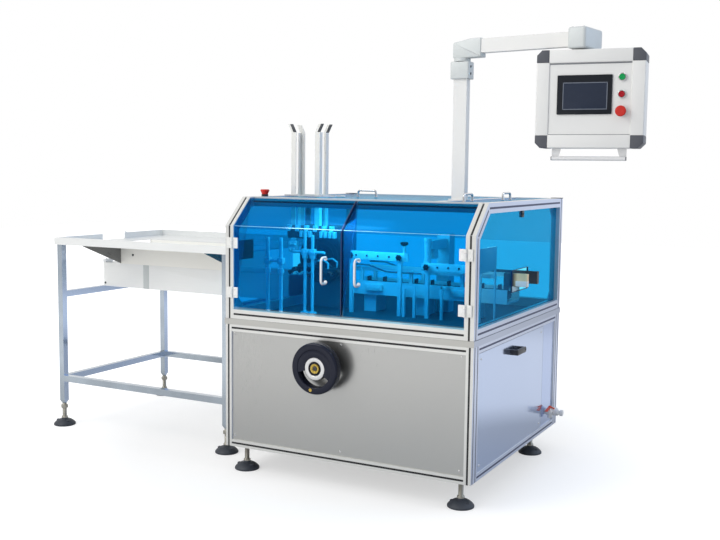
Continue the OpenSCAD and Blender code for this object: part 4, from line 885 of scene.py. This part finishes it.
# %% Buttons and screen
bezel = block((-119, -1, 1503), (81, 5, 1647), 2.5, 1.2, "xz")
on_panel("screen_bezel", "screen", [bezel], replaces=["panel_screen"])
glass = block((-95, -1.3, 1523), (62, 0, 1617), 1.5, 0.2, "xz")
on_panel("screen_glass", "screen", [glass], look="display")
lines = [block((-98, -1.6, z), (65, -0.5, z + 3.2), 0.4, 0.2, "xz") for z in (1520, 1616.8)]
lines += [block((x, -1.6, 1520), (x + 3.2, -0.5, 1620), 0.4, 0.2, "xz") for x in (-98, 61.8)]
on_panel("screen_lines", "screen", lines, look="display_line")
seams = [block((-149, 3.2, 1687), (149, 6, 1691.5), 0.8, 0.4, "xz"),
         block((-149, 4.2, 1428), (149, 6, 1430), 0.5, 0.3, "xz")]
on_panel("face_seams", "corner_grey", seams, look="stand_grey")

BUTTON_X, START_Z, STOP_Z, HALT_Z = 116, 1637, 1575, 1513
collars = []
for bore, z in ((11.1, START_Z), (11.1, STOP_Z), (9.1, HALT_Z)):
    button_ring = ring((bore, 0), (15, 9), [0.3, 0.3, 2, 1], 5, 40)
    collars.append(moved(facing_front(button_ring), (BUTTON_X, 5, z)))
on_panel("button_collars", "bright_steel", collars, replaces=["button_rings"])
press = facing_front(lathe([(0, 0), (11, 0), (11, 6), (10, 7), (8, 6.6), (0, 6.2)], 36))
for body, slot, z in (("start_button", "green", START_Z), ("stop_button", "red", STOP_Z)):
    piece(body + "_cap", slot, body, [moved(press, (BUTTON_X, 0, z))], panel_frame, replaces=[body])
a = np.linspace(0, np.pi / 2, 7)
dome = np.stack([15.5 + 4.5 * np.cos(a), 24.5 + 5.5 * np.sin(a)], -1)
stalk = [[0, 5], [13, 5], [13.5, 10], [18, 21], [19.6, 22]]
mushroom = lathe(np.concatenate([stalk, dome, [[8, 29.4], [0, 29]]]), 44)
piece("panel_stop_head", "red", "panel_stop", [moved(facing_front(mushroom), (BUTTON_X, 5, HALT_Z))],
      panel_frame, replaces=["panel_stop"], look="stop_red")
piece("deck_stop_head", "red", "deck_stop", [moved(mushroom, (24, 262, 1170))],
      replaces=["deck_stop"], look="stop_red")

# %% [markdown]
# ## Screws and sheet metal
#
# The lower panels are held by small screws, the side cover too. They are tiny in the photo, but they are
# what tells the eye that a panel is a panel.

# %% Screws
small = screw(5, 2)
shapes = [front_screws(5, 2, *[(x, 6, z) for x in (42, 555, 1071) for z in (159, 595)]),
          right_screws(5, 2, *[(1117, y, z) for y in (90, 835) for z in (165, 580)]),
          moved(turned(small, "Y", -90), *[(6, y, z) for y in (100, 990) for z in (165, 580)]),
          moved(turned(small, "X", -90), *[(x, 1089, z) for x in (60, 560, 1060) for z in (165, 580)])]
fixed("panel_screws", "bright_steel", shapes)

# %% [markdown]
# ## Behind the blue sheet
#
# Cartons are pulled from the magazine by suction cups on a turning head, opened, and carried along by the
# lugs of a chain between guide bars. Most of it stays in shadow behind the sheet, so the pieces here are
# those that catch light: rods with collars, knobs, clamps, chain links, a cylinder, flap guides.

# %% Feeder head
FEEDER_X, FEEDER_Z = 190, 890
hub_cap = lathe([(0, 0), (36, 0), (36, 5), (33, 8), (16, 8), (16, 14), (13, 16), (0, 16)], 48)
bolts = moved(screw(4, 3), *[(25 * np.cos(t), 25 * np.sin(t), 8) for t in np.arange(6) * np.pi / 3])
cap_front = moved(facing_front(joined(hub_cap, bolts)), (FEEDER_X, 385.5, FEEDER_Z))
piece("feeder_cap", "bright_steel", "feeder", [cap_front])
pipe = tube([(36, 16), (58, 34), (86, 34), (96, 12)], 9, 4, "xz", 12)
pipes = [moved(turned(pipe, "Y", -90 - 120 * k), (FEEDER_X, y, FEEDER_Z))
         for k in range(3) for y in (380, 460)]
piece("feeder_pipes", "machine_steel", "feeder", pipes)
grooves = [ring((r, 0), (r + 9, 3), 0.8, 3, 56) for r in (56, 78, 103)]
studs_on = moved(screw(5, 4), *[(95 * np.cos(t), 95 * np.sin(t), 0) for t in np.arange(9) * 2 * np.pi / 9])
disc_face = moved(facing_front(joined(*grooves, studs_on)), (FEEDER_X, 478.2, FEEDER_Z))
piece("feeder_disc_face", "dark_steel", "feeder", [disc_face])


# %% Rods, knobs and clamps
def rod(height, r=8, collar=0.55):
    """An upright rod about Z with a foot flange, a clamp collar and a round top."""
    c = height * collar
    base = [(0, 0), (20, 0), (20, 6), (18, 8), (r + 2, 9), (r, 12)]
    clamped = [(r, c), (r + 6, c + 1), (r + 6, c + 20), (r, c + 21)]
    return lathe(base + clamped + [(r, height - 2), (r - 2, height), (0, height)], 28)


def star(r, h, lobes=6):
    """A star knob about Z: the radius swings in and out with the angle, and draws in towards the top."""
    a = np.linspace(0, 2 * np.pi, 48, endpoint=False)[None]
    rise = np.array([0, 0, 2, 5, h - 4, h - 1, h, h])[:, None]
    size = np.array([0, 0.55, 0.60, 0.95, 1.0, 0.9, 0.6, 0])[:, None] * r
    size = size * (1 - 0.13 * (1 - np.cos(lobes * a)) * (size > 0.7 * r))
    return grid(np.stack([size * np.cos(a), size * np.sin(a), rise + 0 * a], -1), wrap_v=True)


BED = 660
rods = [moved(rod(340), (114, 150, BED), (180, 150, BED)),
        moved(rod(345, 7, 0.7), (209, 300, BED), (247, 300, BED))]
cross = [moved(facing_right(lathe([(0, 0), (6, 0), (6, length), (0, length)], 20)), at)
         for length, at in ((160, (148, 300, 930)), (96, (99, 150, 900)))]
fixed("bed_rods", "bright_steel", rods + cross, look="machine_steel")
clamp = joined(block((-14, -12, -14), (14, 12, 14), 4, 2, "xz"), front_screws(6, 4, (0, -12, 0)))
clamps = moved(clamp, (114, 150, 900), (180, 150, 900), (209, 300, 930), (247, 300, 930))
fixed("rod_clamps", "machine_steel", [clamps])
yoke = [block((76, y0, 1026), (330, y1, 1042), 4, 2, "yz") for y0, y1 in ((359, 379), (459, 475))]
yoke += [block((92, 346, 984), (352, 352, 1027), 3, 1.5, "xz"),
         block((86, 350, 990), (98, 362, 1040), 3, 1.5, "xz")]
fixed("magazine_yoke", "dark_steel", yoke)
vacuum = [block((104, 330, 922), (146, 352, 972), 4, 2, "xz"),
          block((112, 336, 971), (138, 350, 986), 3, 1, "xz")]
port = facing_front(lathe([(0, 0), (6, 0), (6, 9), (4, 11), (0, 11)], 20))
ports = moved(port, *[(x, 330, z) for x in (115, 135) for z in (935, 959)])
valves = [block((x, 330, 992), (x + 13, 347, 1020), 2.5, 1.5, "xz")
          for x in (160, 182, 204, 262, 284, 306, 328)]
fixed("vacuum_block", "machine_steel", [*vacuum, ports, *valves])
pinch = joined(block((-9, -10, -14), (9, 10, 14), 3, 1.5, "xz"), front_screws(5, 3, (0, -10, 4)))
pinches = moved(pinch, *[(x, 351, 1030) for x in (96, 140, 186, 232, 276, 314)])
fixed("yoke_clamps", "machine_steel", [pinches])


def tip_sleeve(x0, x1, lean, y):
    """A dark sleeve on the leaning tip of a magazine rail: a slanted strip, 1 mm proud on both sides."""
    return prism([(x0, 1453), (x1, 1453), (x1 + lean, 1489), (x0 + lean, 1489)], y - 1, y + 5, 0.8, 0.5, "xz")


sleeves = [tip_sleeve(98, 112, -18, 379), tip_sleeve(221, 234, 18, 379), tip_sleeve(221, 234, 18, 455)]
fixed("tip_sleeves", "dark_steel", sleeves)

# %% Conveyor details
link = block((-7, -30, 0), (7, 30, 3.2), 3, 1)
links = moved(link, *[(x, 560, 788) for x in np.linspace(380, 1030, 38)])
fixed("chain_links", "chain", [links])
guide_front = [block((314, 446, 897), (622, 450.5, 933), 2, 1, "xz"),
               block((712, 446, 864), (990, 450.5, 898), 2, 1, "xz")]
fixed("guide_front", "machine_steel", guide_front, look="white_plastic")
bar_heads = [(x, 446, z) for x0, x1, z in ((330, 600, 915), (726, 974, 881)) for x in np.linspace(x0, x1, 6)]
fixed("guide_screws", "bright_steel", [front_screws(5.5, 3, *bar_heads)])
knob_spots = [(x, 433.5, z) for x, z in ((366, 915), (602, 915), (732, 881), (968, 881))]
knobs = [moved(facing_front(star(15, 14)), *knob_spots), moved(star(19, 16), (615, 454, 966))]
fixed("star_knobs", "black_plastic", knobs)
spindle = moved(lathe([(0, 0), (6, 0), (6, 34), (0, 34)], 18), (615, 454, 933))
sliders = [block((x0, 466, 758), (x1, 480, 788), 5, 2, "xz") for x0, x1 in ((418, 503), (826, 905))]
sliders += [block((799, 424, 660), (811, 436, 802), 2, 1, "xy"),
            block((799, 424, 790), (826, 470, 802), 3, 1, "xy")]
slider_heads = front_screws(5, 3, *[(x, 466, 773) for x in (432, 489, 840, 891)])
fixed("slide_blocks", "hinge", [spindle, *sliders, slider_heads])
low_guide = tube([(352, 872), (430, 872), (520, 846), (690, 846)], 40, 4, "xz", 12)
high_guide = tube([(690, 866), (820, 866), (920, 888), (1010, 888)], 40, 4, "xz", 12)
flaps = [moved(low_guide, (0, 474, 0), (0, 646, 0)), moved(high_guide, (0, 474, 0))]
fixed("flap_guides", "bright_steel", flaps)
piston = [(0, 845), (9, 845), (9, 852), (5, 853), (5, 884)]
barrel = [(15, 884), (17, 886), (17, 900), (14.5, 902), (14.5, 984), (17, 986), (17, 1000), (15, 1002),
          (0, 1002)]
mount = block((690, 496, 952), (730, 521, 988), 4, 2, "xz")
fixed("ram", "machine_steel", [moved(lathe(piston + barrel, 32), (710, 488, 0)), mount])

# %% [markdown]
# ## Window fittings
#
# Angle plates brace the corners of the guard frame behind the sheet, each with two screws. The sawn edge of
# the sheet shows as a dark line round the opening where the cartons leave, beside a guide with white wear
# strips; the rear guide and the rail that leads to it are dark as painted shade. A seal closes the gap behind
# the side cover. A plate on the left window stays blank here.

# %% Window fittings
gusset = joined(prism([(0, 0), (44, 0), (44, 10), (10, 44), (0, 44)], 0, 4, 3, 1, "yz"),
                right_screws(5, 3, (4, 28, 9), (4, 9, 28)))


def flipped(shape, y, z):
    """A shape mirrored front to back where y is -1, and top to bottom where z is -1."""
    return shape[0] * np.array([1, y, z]), shape[1]


braces = [moved(flipped(gusset, sy, sz), (x, 41 if sy > 0 else 1054, 701 if sz > 0 else 1129))
          for x in (1084, 26) for sy, sz in ((1, 1), (-1, 1), (-1, -1))]
fixed("corner_braces", "profile", braces)
trim = [block((1098, 458, z), (1105, 662, z + 2), 0.6, 0.5, "xz") for z in (884, 793)]
trim += [block((1098, y, 794), (1105, y + 2, 885), 0.6, 0.5, "xy") for y in (458, 660)]
fixed("exit_trim", "strip", trim, look="edge_dark")
facings = [block((1112, 478.8, 819), (1159.5, 480.5, 842), 1.5, 0.5, "xz"),
           block((1159, 481, 819), (1161.2, 503, 842), 1.5, 0.5, "yz")]
fixed("guide_facings", "cream", facings, look="white_plastic")
# Painted shade: the rear rail is dark steel because it stands in shade behind the guide.
back_rail = [block((800, 618, 856), (1062, 628, 871), 3, 1, "xz"),
             block((812, 618, 840), (828, 640, 858), 3, 1, "xz")]
fixed("back_rail", "dark_steel", back_rail)
joint = block((1110, 866, 148), (1116.6, 869, 598), 1, 0.5, "xy")
fixed("cover_joint", "black_plastic", [joint], look="edge_dark")
blank = block((22, 45, 903), (25, 172, 985), 3, 1, "yz")
blank_heads = right_screws(3.5, 1.5, *[(25, y, z) for y in (53, 164) for z in (911, 977)])
fixed("blank_plate", "dark_steel", [blank, blank_heads])
caps = [block((x, 1047, 1169), (x + 46, 1097, 1172.5), 3, 1.2, "xy") for x in (1076, -2)]
fixed("post_caps", "black_plastic", caps)
clip = block((1090, 566, 1100), (1104, 592, 1128), 3, 1.5, "yz")
fixed("window_clip", "black_plastic", [clip, right_screws(4, 2, (1104, 579, 1114))])

# %% [markdown]
# ## Valve
#
# A small ball valve sits low on the right side: a round body between hexagon ends, a hose nozzle with nuts, a
# side outlet, a plug below, and a bent strip of red steel as its lever. Only the lever turns.

# %% Valve
VALVE_Y, VALVE_Z = 940, 198
ball = lathe([(0, 0), (11, 0), (11, 8), (17, 11), (19, 17), (19, 26), (17, 32), (13, 35), (13, 46),
              (0, 46)], 36)
valve_nut = hexagon([(14, 15, 0), (14, 16.1, 1), (14, 16.1, 7), (14, 15, 8)])
ribs = [(13, 46), (15, 49), (15, 60), (10, 62), (9, 68), (14, 70), (14, 82), (8, 84)]
nozzle = lathe([(0, 45), *ribs, (0, 84)], 28)
along = joined(ball, moved(valve_nut, (0, 0, 3), (0, 0, 38)), nozzle)
outlet = lathe([(0, 0), (10, 0), (10, 36), (11.5, 37), (11.5, 51), (10, 52), (0, 52)], 28)
drain = hexagon([(9, 10, 0), (10, 11.4, 1.5), (10, 11.4, 12), (10, 11.4, 14)])
valve = [moved(facing_right(along), (1114, VALVE_Y, VALVE_Z)),
         moved(turned(outlet, "X", -90), (1149, VALVE_Y, VALVE_Z)),
         moved(drain, (1136, VALVE_Y, 170))]
fixed("valve_parts", "cream_paint", valve, replaces=["valve_body"], look="white_plastic")
long_arm = prism([(-58, 3), (-57, -0.5), (0, 10), (4, 10), (4, 14), (0, 14)], -6.5, 6.5,
                 [1.5, 1.5, 3, 1, 1, 4], 0.8, "yz")
short_arm = prism([(-6, 10), (4, 10), (21, 2.5), (23, 6), (4, 14), (-6, 14)], -6.5, 4,
                  [1, 3, 1.5, 1.5, 6, 1], 0.8, "xz")
stem = lathe([(0, 0.3), (6, 0.3), (6, 9), (5, 10), (0, 10)], 24)
cap_nut = moved(hexagon([(5, 5.4, 0), (5, 5.8, 0.6), (5, 5.8, 3.4), (5, 5.2, 4)], 24), (0, 0, 11.5))
lever = moved(joined(long_arm, short_arm, stem, cap_nut), (1136, VALVE_Y, 209))
piece("lever_strip", "orange", "valve_lever", [lever], replaces=["valve_lever"])

# %% [markdown]
# ## Table fittings
#
# The infeed table is folded and welded sheet. A few screws, a lap joint on the feed box and a small stop at
# its end show.

# %% Table fittings
table_heads = front_screws(6, 3, (-936, 503, 845), (-1122, 503, 692), (-320, 503, 845), (-40, 503, 692))
fixed("table_screws", "dark_steel", [table_heads])
stop = [block((-1140, 506, 798), (-1120, 560, 814), 3, 1.5, "xz"),
        moved(screw(5, 4), (-1130, 520, 814), (-1130, 546, 814)),
        moved(lathe([(0, 0), (6, 0), (6, 5), (4, 7), (0, 7)], 20), (-1168.5, 716, 942))]
fixed("feed_stop", "machine_steel", stop)
lap = block((-866, 501.4, 677), (-2, 503.4, 797), 1.5, 0.6, "xz")
fixed("feed_lap", "table_steel", [lap], look="box_steel")
seam = block((-868, 500.2, 677), (-832, 502.4, 797), 1, 0.6, "xz")
fixed("feed_seam", "table_steel", [seam], look="casting")

# %% [markdown]
# ## Count
#
# The new pieces and their faces are counted and printed.

# %% Finish
print("pieces", len(made), "faces", sum(n for _, n in made))
